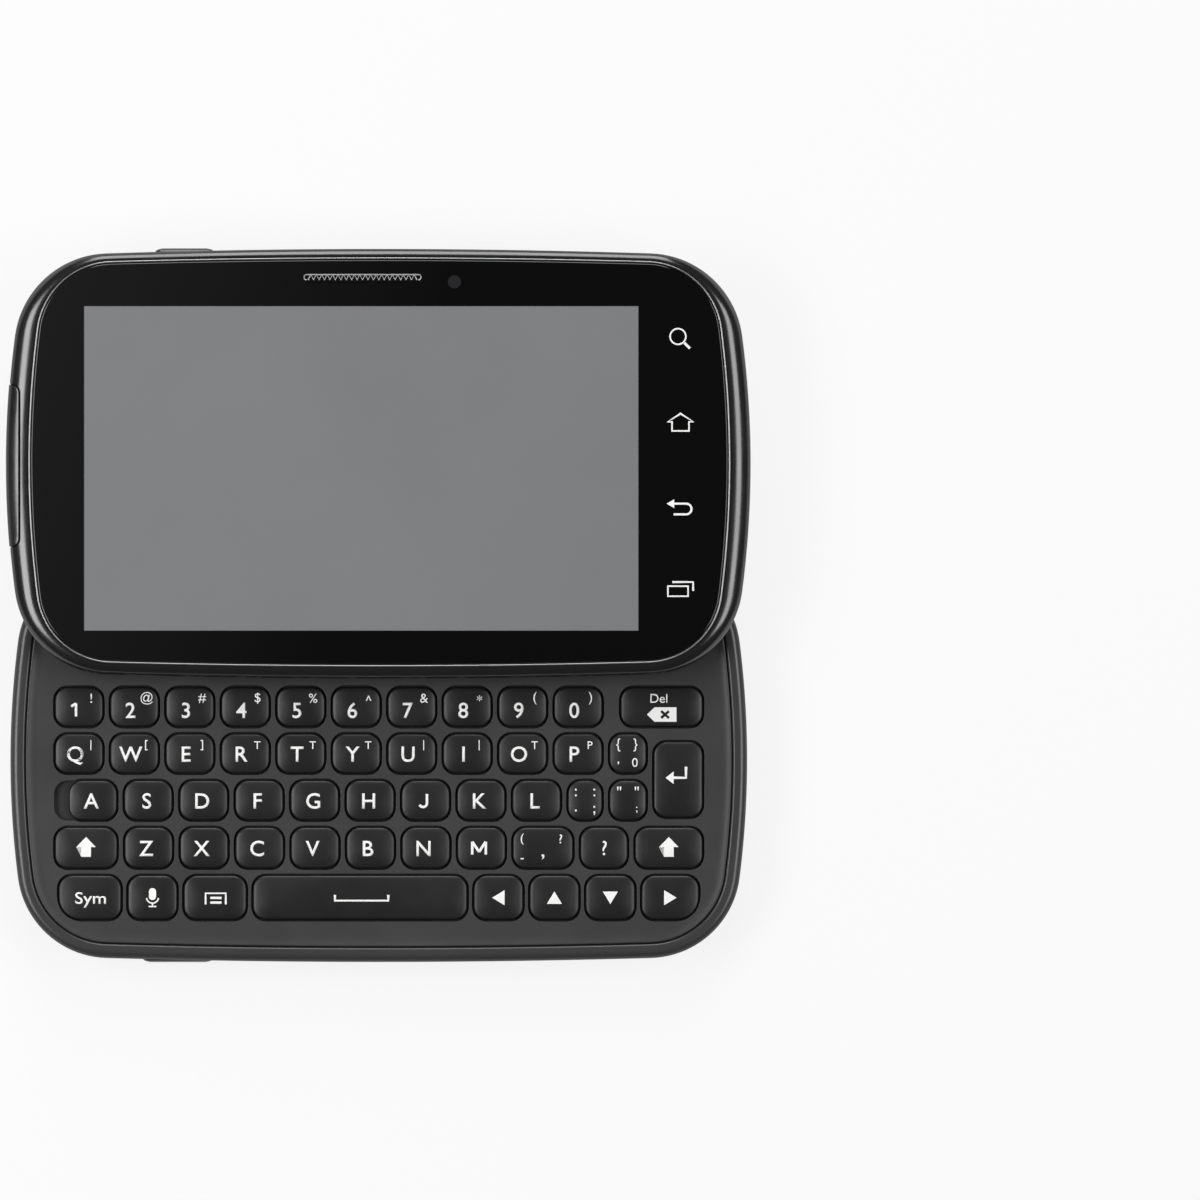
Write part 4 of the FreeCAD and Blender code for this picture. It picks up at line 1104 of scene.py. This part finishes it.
def stroke_mark(points, width, height, cyclic=False):
    """Line of even width with round ends, drawn through points."""
    curve = bpy.data.curves.new("stroke", "CURVE")
    curve.dimensions = "3D"
    curve.bevel_depth = width / 2
    curve.bevel_resolution = 3
    curve.use_fill_caps = True
    spline = curve.splines.new("POLY")
    spline.points.add(len(points) - 1)
    for place, (x, y) in zip(spline.points, points):
        place.co = (x, y, 0, 1)
    spline.use_cyclic_u = cyclic
    data = mesh_of_curve(curve)
    data.transform(Matrix.Translation((0, 0, height * MM))
                   @ Matrix.Diagonal((MM, MM, MM * INK / width * 2, 1)))
    return object_of(data)


def drawn_marks(rows, x, y, height):
    """Marks given as (stroke width, closed, points); a width of 0 fills the shape."""
    marks = []
    for width, closed, points in rows:
        moved = [(x + across, y + up) for across, up in points]
        marks.append(stroke_mark(moved, width, height, closed) if width
                     else filled_mark(moved, height))
    return marks


def arc_points(x, y, radius, start, end, steps=16):
    """Points along an arc, angles in degrees."""
    return [(x + radius * math.cos(math.radians(start + (end - start) * i / steps)),
             y + radius * math.sin(math.radians(start + (end - start) * i / steps)))
            for i in range(steps + 1)]


def turned_triangle(degrees):
    """Filled triangle that points up, turned anticlockwise."""
    turn = Matrix.Rotation(math.radians(degrees), 2)
    corners = (turn @ Vector(corner) for corner in ((0.0, 1.0), (-1.2, -0.98), (1.2, -0.98)))
    return ((0, False, [tuple(corner) for corner in corners]),)


STROKED_LETTERS = {
    "1": (((-0.60, 0.55), (0.16, 1.02)), ((0.16, 1.02), (0.16, -1.04))),
    "J": ([(0.45, 1.04), (0.45, -0.35)] + arc_points(-0.17, -0.42, 0.62, 0, -155, 12),),
    "M": (((-1.08, -1.04), (-1.08, 1.0)), ((-1.06, 1.0), (0.0, -0.62)),
          ((0.0, -0.62), (1.06, 1.0)), ((1.08, 1.0), (1.08, -1.04))),
}
LETTER_ROWS = {
    "top_letter_keys": ("QWERTYUIOP", "|[]TTT||TP", -0.58),
    "middle_letter_keys": ("ASDFGHJKL", "", -0.23),
    "bottom_letter_keys": ("ZXCVBNM", "", -0.38),
}
PUNCTUATION = (
    (("{", -1.54, 1.39, 1.6), ("}", 1.2, 1.39, 1.6), (",", -1.54, -1.5, 1.5),
     ("0", 1.1, -1.4, 1.5)),
    ((":", -1.47, 1.27, 1.9), (":", 1.47, 1.27, 1.9), (".", -1.47, -1.6, 1.9),
     (";", 1.47, -1.6, 1.9)),
    (("\"", -1.4, 1.9, 1.8), ("\"", 1.4, 1.9, 1.8), (";", 1.4, -1.5, 1.3)),
    (("(", -3.3, 1.4, 1.4), ("?", 2.85, 1.45, 1.5), (",", 0.0, -1.4, 2.5),
     ("-", -3.3, -1.7, 1.5)),
    (("?", 0.1, 0.0, 2.40),),
)
SHIFT_ARROW = ((0, False, ((-0.78, -1.40), (0.78, -1.40), (0.78, 0.15), (1.55, 0.15),
                           (0.0, 1.75), (-1.55, 0.15), (-0.78, 0.15))),)
DRAWN_KEYS = {
    "left_shift_key": SHIFT_ARROW, "right_shift_key": SHIFT_ARROW,
    "up_arrow_key": turned_triangle(0), "left_arrow_key": turned_triangle(90),
    "down_arrow_key": turned_triangle(180), "right_arrow_key": turned_triangle(270),
    "enter_key": ((0.46, False, ((1.24, 2.05), (1.24, 0.30), (-0.96, 0.30))),
                  (0, False, ((-2.01, 0.30), (-0.71, -0.70), (-0.71, 1.30)))),
    "voice_key": ((0, False, arc_points(0, 0.95, 0.575, 0, 180, 10)
                   + arc_points(0, 0.20, 0.575, 180, 360, 10)),
                  (0.24, False, arc_points(0, 0.10, 0.97, 190, 350, 14)),
                  (0.24, False, ((0.0, -0.90), (0.0, -1.40))),
                  (0.24, False, ((-0.62, -1.40), (0.62, -1.40)))),
    "menu_key": ((0.34, False, ((-1.50, -1.05), (-1.50, 0.70), (1.70, 0.70), (1.70, -1.05))),
                 (0.38, False, ((-0.76, -0.04), (1.02, -0.04))),
                 (0.38, False, ((-0.76, -0.78), (1.02, -0.78)))),
    "space_key": ((0.42, False, ((-3.99, 0.45), (-3.99, -0.47), (4.49, -0.47),
                                 (4.49, 0.45))),),
}
DELETE_TAG = ((0, False, ((-2.35, -1.20), (-1.15, -2.35), (2.35, -2.35), (2.35, -0.05),
                          (-1.15, -0.05))),)
DELETE_CROSS = ((0.42, False, ((-0.10, -0.65), (1.15, -1.75))),
                (0.42, False, ((-0.10, -1.75), (1.15, -0.65))))


def capital(text, x, y, height):
    """Large letter or digit; a few are drawn with strokes."""
    if text in STROKED_LETTERS:
        return drawn_marks([(STROKE, False, line) for line in STROKED_LETTERS[text]],
                           x, y, height)
    return [text_mark(text, x, y, height, shape_settings().legend_height, False, 0.011)]


def small_signs(rows, x, y, height):
    """Small signs given as (text, across, up, size)."""
    return [text_mark(text, x + across, y + up, height, size)
            for text, across, up, size in rows]


def delete_marks(x, y, height):
    """Short word over a backspace tag with a cross."""
    word = text_mark("Del", x - 0.45, y + 1.42, height, 1.5, False, 0.004)
    cross = drawn_marks(DELETE_CROSS, x, y, height + INK)
    for line in cross:
        line.data.materials.append(MATERIALS["key"])
    return [word] + drawn_marks(DELETE_TAG, x, y, height) + cross


def key_marks(node, place, x, y, height):
    """Legends of one key, whose place counts the keys of its node."""
    if node in DRAWN_KEYS:
        return drawn_marks(DRAWN_KEYS[node], x, y, height)
    if node == "number_keys":
        return (capital("1234567890"[place], x - 0.62, y - 0.46, height)
                + small_signs((("!@#$%^&*()"[place], 1.96, 1.39, 1.55),), x, y, height))
    if node in LETTER_ROWS:
        letters, seconds, shift = LETTER_ROWS[node]
        signs = [(sign, 1.9, 1.35, 1.30) for sign in seconds[place:place + 1]]
        return capital(letters[place], x + shift, y, height) + small_signs(signs, x, y, height)
    if node == "punctuation_keys":
        return small_signs(PUNCTUATION[place], x, y, height)
    if node == "delete_key":
        return delete_marks(x, y, height)
    return [text_mark("Sym", x + 0.1, y, height, 1.92, False, 0.008, 1.18)]


def drape(mark, cap, top):
    """Cuts a mark into small cells and lowers them onto the domed cap under them."""
    mesh = bmesh.new()
    mesh.from_mesh(mark.data)
    for axis in range(2):
        values = [vert.co[axis] for vert in mesh.verts]
        normal = Vector((0, 0, 0))
        normal[axis] = 1.0
        count = max(1, round((max(values) - min(values)) / (DRAPE_CELL * MM)))
        for step in range(1, count):
            place = normal * (min(values) + (max(values) - min(values)) * step / count)
            bmesh.ops.bisect_plane(mesh, geom=mesh.verts[:] + mesh.edges[:] + mesh.faces[:],
                                   plane_co=place, plane_no=normal)
    mesh.to_mesh(mark.data)
    mesh.free()
    tree = BVHTree.FromObject(cap, bpy.context.evaluated_depsgraph_get())
    for vert in mark.data.vertices:
        start = Vector((vert.co.x, vert.co.y, (top + 5) * MM))
        hit = tree.ray_cast(start, Vector((0, 0, -1)))[0]
        if hit is not None:
            vert.co.z += hit.z - top * MM


def keys_in_order(node):
    """Boxes of a node's keys from left to right, row by row in the punctuation keys."""
    boxes = sorted(islands(node), key=lambda box: box[0].x)
    if node == "punctuation_keys":
        boxes.sort(key=lambda box: -round(box[0].y))
    return boxes


def make_keys():
    """All key caps with their legends, one piece for each node."""
    for node in KEY_NODES:
        pieces = []
        for place, (low, high) in enumerate(keys_in_order(node)):
            cap = smooth(cap_mesh(node, low, high), 60)
            cap.data.materials.append(MATERIALS["key"])
            pieces.append(cap)
            bpy.context.view_layer.update()
            x, y = ((low + high) / 2).xy
            for mark in key_marks(node, place, x, y, high.z):
                drape(mark, cap, high.z)
                if not mark.data.materials:
                    mark.data.materials.append(MATERIALS["legend"])
                pieces.append(mark)
        dress(joined(node + "_finished", pieces), None, node, "key_plastic", node)


# Rear details

CAMERA_RING_PROFILE = ((0.0, 1.3), (0.0, 0.45), (0.12, 0.12), (0.42, 0.05), (0.62, 0.05),
                       (0.9, 0.30), (CAMERA_RING_WIDTH, 0.62), (CAMERA_RING_WIDTH, 1.3))
CAMERA_PANE_PROFILE = ((0.0, 1.0), (0.0, 0.45), (0.1, 0.32))
LENS_BACK = 0.318
LENS_FRONT = 0.300
LENS_RINGS = (("lens_grey", 2.25, 1.05), ("satin", 2.62, 2.45))
PUPIL_RADIUS = 1.05
PUPIL_FRONT = 0.305
FLASH_PROFILE = ((0.0, 1.0), (0.0, 0.25), (0.08, 0.1), (0.3, 0.06))


def make_camera():
    """Camera ring, its pane and the rings of the lens."""
    low, high = node_box("camera_window")
    middle = (low + high) / 2
    reach = (high.x - low.x) / 2
    ring = square_stack("camera_surround", middle, reach + CAMERA_PANE_GAP + CAMERA_RING_WIDTH,
                        CAMERA_RING_CORNER, CAMERA_RING_PROFILE, 14, closed=True)
    dress(smooth(ring, 45), MATERIALS["trim"], "base", "bright_trim", "camera_ring")
    pane = square_stack("camera_pane", middle, reach, CAMERA_RING_CORNER - 1.2,
                        CAMERA_PANE_PROFILE, 12)
    dress(smooth(pane, 40), MATERIALS["lens"], "base", "camera_glass", "camera_window")
    rings = []
    for finish, radius, inner in LENS_RINGS:
        edge = circle_points(middle.x, middle.y, radius)
        hole = circle_points(middle.x, middle.y, inner)
        piece = stacked("ring", [(edge, LENS_BACK), (edge, LENS_FRONT), (hole, LENS_FRONT),
                                 (hole, LENS_BACK)], closed=True)
        piece.data.materials.append(MATERIALS[finish])
        rings.append(piece)
    pupil = prism("pupil", circle_points(middle.x, middle.y, PUPIL_RADIUS), PUPIL_FRONT,
                  LENS_BACK)
    pupil.data.materials.append(MATERIALS["lens"])
    dress(joined("camera_lens_rings", rings + [pupil]), None, "base", "black_module")


def make_flash():
    """Square clear lens over a bright tray with a yellow chip."""
    middle = node_middle("flash_led")
    lens = square_stack("flash_window", middle, FLASH_REACH, FLASH_CORNER, FLASH_PROFILE, 10)
    dress(smooth(lens, 40), MATERIALS["clear"], "base", "clear_lens", "flash_lens")
    parts = []
    for finish, reach, corner, low, high, steps in (("steel", 3.4, 1.6, 1.12, 1.45, 8),
                                                    ("phosphor", 1.18, 0.3, 1.02, 1.12, 4)):
        part = prism("tray", square_points(middle, reach, corner, steps), low, high)
        part.data.materials.append(MATERIALS[finish])
        parts.append(part)
    dress(joined("flash_reflector", parts), None, "base", "clear_lens")


# Screen half

SHOE_SLOT_REACH = 1.6
SHOE_SLOT_CORNER = 1.5
TRIM_START = 0.01
TRIM_WIDTH = 0.26
TRIM_ROUND = 0.10
GLASS_START = 0.34
GLASS_ROLL_HEIGHT = 0.30
GRILLE_CORNER = 0.55
RAIL_CORNER = 0.42
SENSOR_RADIUS = 1.03


def screen_back_turn(height):
    """Angle of the screen half's lower roll at a height, in degrees."""
    rise = shape_settings().back_rise
    return math.degrees(math.asin((BACK_LOW.z + rise - height) / rise))


def make_screen_back():
    """Rear shell of the screen half with the two shoe slots."""
    outline = screen_outline()
    inner = outline.points(3.3, shape_settings().corner_steps)
    levels = arc_levels(outline, 90, screen_back_turn(SCREEN_LOW.z), 12, screen_back_place)
    levels += [(inner, SCREEN_LOW.z), (inner, BACK_LOW.z + 0.65)]
    made = stacked("screen_rear_shell", levels)
    slots = []
    for low, high in islands("slide_rails"):
        x = (low.x + high.x) / 2
        slot = rectangle_points(x - SHOE_SLOT_REACH, x + SHOE_SLOT_REACH, low.y, high.y,
                                [SHOE_SLOT_CORNER] * 4)
        slots.append(prism("cut", slot, BACK_LOW.z - 1, BACK_LOW.z + 1.5))
    carve(made, slots)
    weighted(smooth(made, 40))
    dress(made, MATERIALS["satin"], "screen", "satin_housing", "screen_back")


def bezel_roll_levels():
    """Rings of the bezel's outer surface from its seam up to the trim."""
    s = shape_settings()
    outline = screen_outline()
    crest = BACK_LOW.z + s.back_rise + s.bezel_rise
    levels = arc_levels(outline, screen_back_turn(SCREEN_LOW.z), 0, 4, screen_back_place)
    outer = outline.points(0.0, s.corner_steps)
    inner = trim_outline().points(0.0, s.corner_steps)
    rises = [min(s.roll_height, s.roll_steepness * (b - a).length)
             for a, b in zip(outer, inner)]
    for across, up in late_roll(s.bezel_start, 87, 18):
        levels.append(([a.lerp(b, across) for a, b in zip(outer, inner)],
                       [crest - rise * (1 - up) for rise in rises]))
    return levels


def make_screen_bezel():
    """Rolled front shell of the screen half with the pockets of its side keys."""
    steps = shape_settings().corner_steps
    levels = bezel_roll_levels()
    trim = trim_outline()
    top = max(levels[-1][1])
    for inset, height in ((-0.03, top - 0.02), (-0.02, top - 0.25), (-0.03, TRIM_LOW.z),
                          (1.2, TRIM_LOW.z), (1.2, SCREEN_LOW.z)):
        levels.append((trim.points(inset, steps), height))
    made = stacked("screen_front_shell", levels, closed=True)
    low, high = node_box("power_key")
    power = side_bar("cut", low, high, SIDE_KEY_GAP, low.y - 0.45, high.y + 2, SIDE_KEY_CORNER)
    low, high = node_box("volume_rocker")
    rocker = prism("cut", rocker_plan(SIDE_KEY_GAP, ROCKING_ROOM), low.z - SIDE_KEY_GAP,
                   high.z + 2)
    carve(made, [power, rocker])
    smooth(made, 40)
    dress(made, MATERIALS["gloss"], "screen", "gloss_housing", "screen_bezel")


def make_trim():
    """Bright trim with a rounded top."""
    trim = trim_outline()
    steps = shape_settings().corner_steps
    levels = []
    for share in (0.0, 0.18, 0.5, 0.82, 1.0):
        rise = math.sqrt(max(0.0, 1 - (2 * share - 1) ** 2)) * TRIM_ROUND
        levels.append((trim.points(TRIM_START + TRIM_WIDTH * share, steps),
                       TRIM_HIGH.z - TRIM_ROUND + rise))
    levels += [(trim.points(TRIM_START + TRIM_WIDTH, steps), TRIM_LOW.z),
               (trim.points(TRIM_START, steps), TRIM_LOW.z)]
    made = smooth(stacked("glass_trim", levels, closed=True), 60)
    dress(made, MATERIALS["trim"], "screen", "bright_trim", "trim_ring")


def make_glass():
    """Cover glass with a rounded edge and the earpiece slot."""
    trim = trim_outline()
    steps = shape_settings().corner_steps
    top = GLASS_HIGH.z
    levels = [(trim.points(GLASS_START, steps), GLASS_LOW.z)]
    for step in range(6):
        turn = math.radians(90 * step / 5)
        levels.append((trim.points(GLASS_START * (2 - math.cos(turn)), steps),
                       top - GLASS_ROLL_HEIGHT * (1 - math.sin(turn))))
    made = stacked("front_glass", levels)
    low, high = node_box("earpiece_grille")
    slot = stacked("cut", [
        (box_points(low, high, grow, [0.5 + grow] * 4), height)
        for grow, height in ((0.04, GLASS_LOW.z - 1), (0.04, top - 0.10), (0.16, top + 0.02),
                             (0.16, top + 1))])
    carve(made, [slot])
    weighted(smooth(made, 40))
    dress(made, MATERIALS["glass"], "screen", "cover_glass", "touch_glass")


def make_grille():
    """Wire lace over a black plate in the earpiece slot; the plate stands for the dark receiver,
    and the strip of it left bare below the lace is painted shadow.
    """
    s = shape_settings()
    low, high = node_box("earpiece_grille")
    plate = prism("plate", box_points(low, high, 0.0, [GRILLE_CORNER] * 4), low.z,
                  high.z - 0.12)
    plate.data.materials.append(MATERIALS["lens"])
    half = s.lace_width / 2
    # Painted shadow: the lace starts 0.20 mm up, leaving a dark strip of the plate along the
    # slot's lower edge.
    low.y += 0.20
    edge = box_points(low, high, -half, [RAIL_CORNER] * 4)
    quarter = len(edge) // 4
    rail = edge[quarter:] + edge[:quarter]
    first, last = low.x + s.lace_pitch * 0.9, high.x - s.lace_pitch * 0.9
    count = 2 * round((last - first) / s.lace_pitch)
    lace = [(first + (last - first) * step / count,
             high.y - half if step % 2 else low.y + half) for step in range(count + 1)]
    lines = [stroke_mark(line, s.lace_width, high.z - 0.05) for line in (rail, lace)]
    for line in lines:
        line.data.materials.append(MATERIALS["grille"])
    dress(joined("earpiece_mesh", [plate] + lines), None, "screen", "grille_steel",
          "earpiece_grille")


def make_front_camera():
    """Small dark window over the front camera, printed behind the glass."""
    middle = node_middle("front_camera")
    top = GLASS_HIGH.z
    window = prism("sensor_window", circle_points(middle.x, middle.y, SENSOR_RADIUS),
                   top - 0.01, top + 0.004)
    dress(window, MATERIALS["sensor"], "screen", "camera_glass")


ICONS_X = SCREEN_HALF_X - 11.15
ICONS = (
    (20.2, ((0.26, True, arc_points(-0.4, 0, 1.25, 0, 345, 28)),
            (0.42, False, ((0.60, -1.0), (1.50, -1.90))))),
    (6.4, ((0.36, True, ((-1.35, -1.2), (-1.35, 0.25), (-2.05, 0.25), (0.0, 1.55),
                         (2.05, 0.25), (1.35, 0.25), (1.35, -1.2))),)),
    (-6.9, ((0.34, False, [(-1.5, 0.55), (0.9, 0.55)]
             + arc_points(0.9, -0.3, 0.85, 90, -90, 10) + [(-1.1, -1.15)]),
            (0, False, ((-2.2, 0.55), (-1.0, -0.15), (-1.0, 1.25))))),
    (-20.0, ((0.34, True, ((-2.0, -1.05), (1.2, -1.05), (1.2, 0.55), (-2.0, 0.55))),
             (0.34, False, ((-1.3, 1.2), (2.0, 1.2), (2.0, -0.2))))),
)


def make_icons():
    """Search, home, back and menu icons as one thin printed piece."""
    marks = []
    for up, rows in ICONS:
        marks += drawn_marks(rows, ICONS_X, TRAVEL_Y + up, GLASS_HIGH.z)
    for mark in marks:
        mark.data.materials.append(MATERIALS["legend"])
    dress(joined("touch_icons", marks), None, "screen", "key_plastic")


# Side controls

BUTTON_CORNER = 0.95
BUTTON_TAPER = 1.6
BUTTON_PROFILE = ((0.0, 0.62), (0.06, 0.42), (0.22, 0.22), (0.48, 0.09), (0.78, 0.0))
ROCKING_ROOM = 0.34
ROCKER_SETBACK = 0.11


def bevel_sharp(mesh, width):
    """Rounds every edge sharper than 40 degrees."""
    sharp = [edge for edge in mesh.edges
             if edge.is_manifold and edge.calc_face_angle(0) > math.radians(40)]
    bmesh.ops.bevel(mesh, geom=sharp, offset=width * MM, segments=3, profile=0.5,
                    affect="EDGES", clamp_overlap=True, material=-1)


def side_button(name, node, root, tip):
    """Side key from its root to a tip rounded towards its ends, both places on Y."""
    low, high = node_box(node)
    inward = 1 if root > tip else -1
    rings = []
    for inset, setback in ((0.0, abs(root - tip)),) + BUTTON_PROFILE:
        taper = inset * BUTTON_TAPER
        rings.append((rectangle_points(low.x + taper, high.x - taper, -high.z + inset,
                                       -low.z - inset, [BUTTON_CORNER - inset] * 4),
                      tip + inward * setback))
    made = stacked(name, rings)
    made.data.transform(ALONG_Y)
    dress(smooth(made, 50), MATERIALS["control"], node, "control_plastic", node)


def rocker_plan(grow, room):
    """Plan of the volume rocker, rounded where it meets the bezel."""
    low, high = node_box("volume_rocker")
    inner = 1.35 + grow
    return rectangle_points(low.x - 3.0, high.x + 0.45 + room, low.y - grow, high.y + grow,
                            [1.0, inner, inner, 1.0], 12)


def make_rocker():
    """Volume rocker that follows the bezel's roll."""
    low, high = node_box("volume_rocker")
    shell = stacked("volume_button", bezel_roll_levels())
    shell.data.transform(Matrix.Translation((-ROCKER_SETBACK * MM, 0, 0)))
    carve(shell, [prism("cut", rocker_plan(-0.02, -0.02), low.z, high.z + 0.6)], "INTERSECT")
    mesh = bmesh.new()
    mesh.from_mesh(shell.data)
    bmesh.ops.remove_doubles(mesh, verts=mesh.verts, dist=1e-6)
    bevel_sharp(mesh, 0.11)
    mesh.to_mesh(shell.data)
    mesh.free()
    smooth(shell, 50)
    dress(shell, MATERIALS["control"], "volume_rocker", "control_plastic", "volume_rocker")


def make_port_cover():
    """Port cover with softened edges."""
    mesh = merged_copy("port_cover")
    bmesh.ops.dissolve_limit(mesh, angle_limit=math.radians(4), verts=mesh.verts,
                             edges=mesh.edges)
    bevel_sharp(mesh, 0.05)
    made = smooth(object_from(mesh, "port_flap"), 50)
    dress(made, MATERIALS["satin"], "port_cover", "satin_housing", "port_cover")


def make_side_controls():
    """Power key, volume rocker, shutter key and port cover."""
    low, high = node_box("power_key")
    side_button("power_button", "power_key", low.y, high.y - 0.24)
    low, high = node_box("shutter_key")
    side_button("shutter_button", "shutter_key", high.y, low.y + 0.28)
    make_rocker()
    make_port_cover()


# Stage

FLOOR_GAP = 0.00005
FLOOR_WHITE = 0.975
FLOOR_GLOW = 0.86
SOFTBOXES = (
    ("left softbox", (-0.40, 0.02, 0.45), (0.48, 0.25), 2.7),
    ("right softbox", (0.68, 0.02, 0.76), (0.78, 0.38), 5.2),
    ("top softbox", (0.0, 1.0, 0.50), (0.62, 0.72), 7.6),
)
PHOTO_WIDTH = 1200
PHOTO_PIXEL = 0.15882
ORIGIN_PIXEL = (378.5, 760.0)
LENS = 900.0
SENSOR = 36.0


def make_floor():
    """White floor that keeps a faint shadow and is clear from below."""
    mesh = bmesh.new()
    bmesh.ops.create_grid(mesh, x_segments=1, y_segments=1, size=3.0,
                          matrix=Matrix.Translation((0.0, 0.0, -FLOOR_GAP)))
    floor = object_from(mesh, "floor")
    material = bpy.data.materials.new("white floor")
    material.use_nodes = True
    tree = material.node_tree
    tree.nodes.clear()
    out = add_node(tree, "OutputMaterial")
    paper = add_node(tree, "BsdfDiffuse", values={"Color": (0.80, 0.80, 0.80, 1.0)})
    glow = add_node(tree, "Emission", values={"Color": (*[FLOOR_WHITE] * 3, 1.0)})
    paths = add_node(tree, "LightPath")
    either = add_node(tree, "Math", "MAXIMUM")
    seen = add_node(tree, "Math", "MAXIMUM")
    share = add_node(tree, "Math", "MULTIPLY", {1: FLOOR_GLOW})
    lit = add_node(tree, "MixShader")
    clear = add_node(tree, "BsdfTransparent")
    side = add_node(tree, "NewGeometry")
    below = add_node(tree, "MixShader")
    wire(tree, (paths, "Is Camera Ray", either, 0), (paths, "Is Glossy Ray", either, 1),
         (either, "Value", seen, 0), (paths, "Is Transmission Ray", seen, 1),
         (seen, "Value", share, 0), (share, "Value", lit, "Fac"), (paper, "BSDF", lit, 1),
         (glow, "Emission", lit, 2), (side, "Backfacing", below, "Fac"),
         (lit, "Shader", below, 1), (clear, "BSDF", below, 2),
         (below, "Shader", out, "Surface"))
    floor.data.materials.append(material)


def make_world():
    """White background over a dim world."""
    world = bpy.data.worlds.new("studio")
    bpy.context.scene.world = world
    world.use_nodes = True
    tree = world.node_tree
    back = tree.nodes["Background"]
    back.inputs["Color"].default_value = (1.0, 1.0, 1.0, 1.0)
    paths = add_node(tree, "LightPath")
    level = add_node(tree, "MapRange", values={"To Min": 0.08, "To Max": FLOOR_WHITE})
    wire(tree, (paths, "Is Camera Ray", level, "Value"), (level, "Result", back, "Strength"))


def make_softbox(name, place, size, power):
    """Rectangular soft light aimed at the phone, in metres and watts."""
    data = bpy.data.lights.new(name, "AREA")
    data.shape = "RECTANGLE"
    data.size, data.size_y = size
    data.energy = power
    made = bpy.data.objects.new(name, data)
    made.location = place
    aim = Vector((0.0, TRAVEL_Y * MM / 2, 0.008)) - Vector(place)
    made.rotation_mode = "QUATERNION"
    made.rotation_quaternion = aim.to_track_quat("-Z", "Y")
    bpy.context.scene.collection.objects.link(made)


def make_camera_seat():
    """Long lens over the place where the photograph's middle falls."""
    camera = bpy.data.cameras.new("camera")
    camera.lens = LENS
    camera.sensor_width = SENSOR
    camera.clip_end = 20.0
    seat = bpy.data.objects.new("camera", camera)
    distance = PHOTO_WIDTH * PHOTO_PIXEL / SENSOR * LENS
    seat.location = ((PHOTO_WIDTH / 2 - ORIGIN_PIXEL[0]) * PHOTO_PIXEL * MM,
                     (ORIGIN_PIXEL[1] - PHOTO_WIDTH / 2) * PHOTO_PIXEL * MM,
                     (distance + GLASS_HIGH.z) * MM)
    bpy.context.scene.collection.objects.link(seat)
    bpy.context.scene.camera = seat
    bpy.context.scene.view_settings.view_transform = "Standard"


# Operators

class PHONE_OT_finishes(bpy.types.Operator):
    """Make the finishes and paint every node of the frame with them"""

    bl_idname = "phone.finishes"
    bl_label = "Finishes"

    def execute(self, context):
        make_materials()
        paint_frame()
        return {"FINISHED"}


class PHONE_OT_base_shells(bpy.types.Operator):
    """Model the rear cover, side band and keypad rim"""

    bl_idname = "phone.base_shells"
    bl_label = "Keyboard half shells"

    def execute(self, context):
        make_rear_cover()
        make_base_frame()
        make_jack()
        make_keypad_bezel()
        return {"FINISHED"}


class PHONE_OT_keyboard(bpy.types.Operator):
    """Model the deck, the key caps and their legends"""

    bl_idname = "phone.keyboard"
    bl_label = "Keyboard"

    def execute(self, context):
        make_deck()
        make_keys()
        return {"FINISHED"}


class PHONE_OT_rear_details(bpy.types.Operator):
    """Model the camera surround, its lens and the flash"""

    bl_idname = "phone.rear_details"
    bl_label = "Camera and flash"

    def execute(self, context):
        make_camera()
        make_flash()
        return {"FINISHED"}


class PHONE_OT_screen_shells(bpy.types.Operator):
    """Model the screen half's shells, trim and glass"""

    bl_idname = "phone.screen_shells"
    bl_label = "Screen half shells"

    def execute(self, context):
        make_screen_back()
        make_screen_bezel()
        make_trim()
        make_glass()
        return {"FINISHED"}


class PHONE_OT_screen_details(bpy.types.Operator):
    """Model the earpiece grille, the sensor window and the touch icons"""

    bl_idname = "phone.screen_details"
    bl_label = "Screen details"

    def execute(self, context):
        make_grille()
        make_front_camera()
        make_icons()
        return {"FINISHED"}


class PHONE_OT_side_controls(bpy.types.Operator):
    """Model the side keys and the port cover"""

    bl_idname = "phone.side_controls"
    bl_label = "Side controls"

    def execute(self, context):
        make_side_controls()
        return {"FINISHED"}


class PHONE_OT_stage(bpy.types.Operator):
    """Set up the floor, lights and camera"""

    bl_idname = "phone.stage"
    bl_label = "Stage"

    def execute(self, context):
        make_floor()
        make_world()
        for softbox in SOFTBOXES:
            make_softbox(*softbox)
        make_camera_seat()
        return {"FINISHED"}


class PHONE_PT_panel(bpy.types.Panel):
    """Lists the steps that build the phone"""

    bl_idname = "PHONE_PT_panel"
    bl_label = "Slider phone"
    bl_space_type = "VIEW_3D"
    bl_region_type = "UI"
    bl_category = "Phone"

    def draw(self, context):
        for operator in OPERATORS:
            self.layout.operator(operator.bl_idname)


OPERATORS = (PHONE_OT_finishes, PHONE_OT_base_shells, PHONE_OT_keyboard,
             PHONE_OT_rear_details, PHONE_OT_screen_shells, PHONE_OT_screen_details,
             PHONE_OT_side_controls, PHONE_OT_stage)
CLASSES = (PhoneShapeSettings, PhoneColourSettings) + OPERATORS + (PHONE_PT_panel,)


def register():
    for kind in CLASSES:
        bpy.utils.register_class(kind)
    bpy.types.Scene.phone_shape = PointerProperty(type=PhoneShapeSettings)
    bpy.types.Scene.phone_colours = PointerProperty(type=PhoneColourSettings)


def unregister():
    del bpy.types.Scene.phone_colours
    del bpy.types.Scene.phone_shape
    for kind in reversed(CLASSES):
        bpy.utils.unregister_class(kind)


def main():
    register()
    bpy.ops.phone.finishes()
    bpy.ops.phone.base_shells()
    bpy.ops.phone.keyboard()
    bpy.ops.phone.rear_details()
    bpy.ops.phone.screen_shells()
    bpy.ops.phone.screen_details()
    bpy.ops.phone.side_controls()
    bpy.ops.phone.stage()


if __name__ == "__main__":
    main()
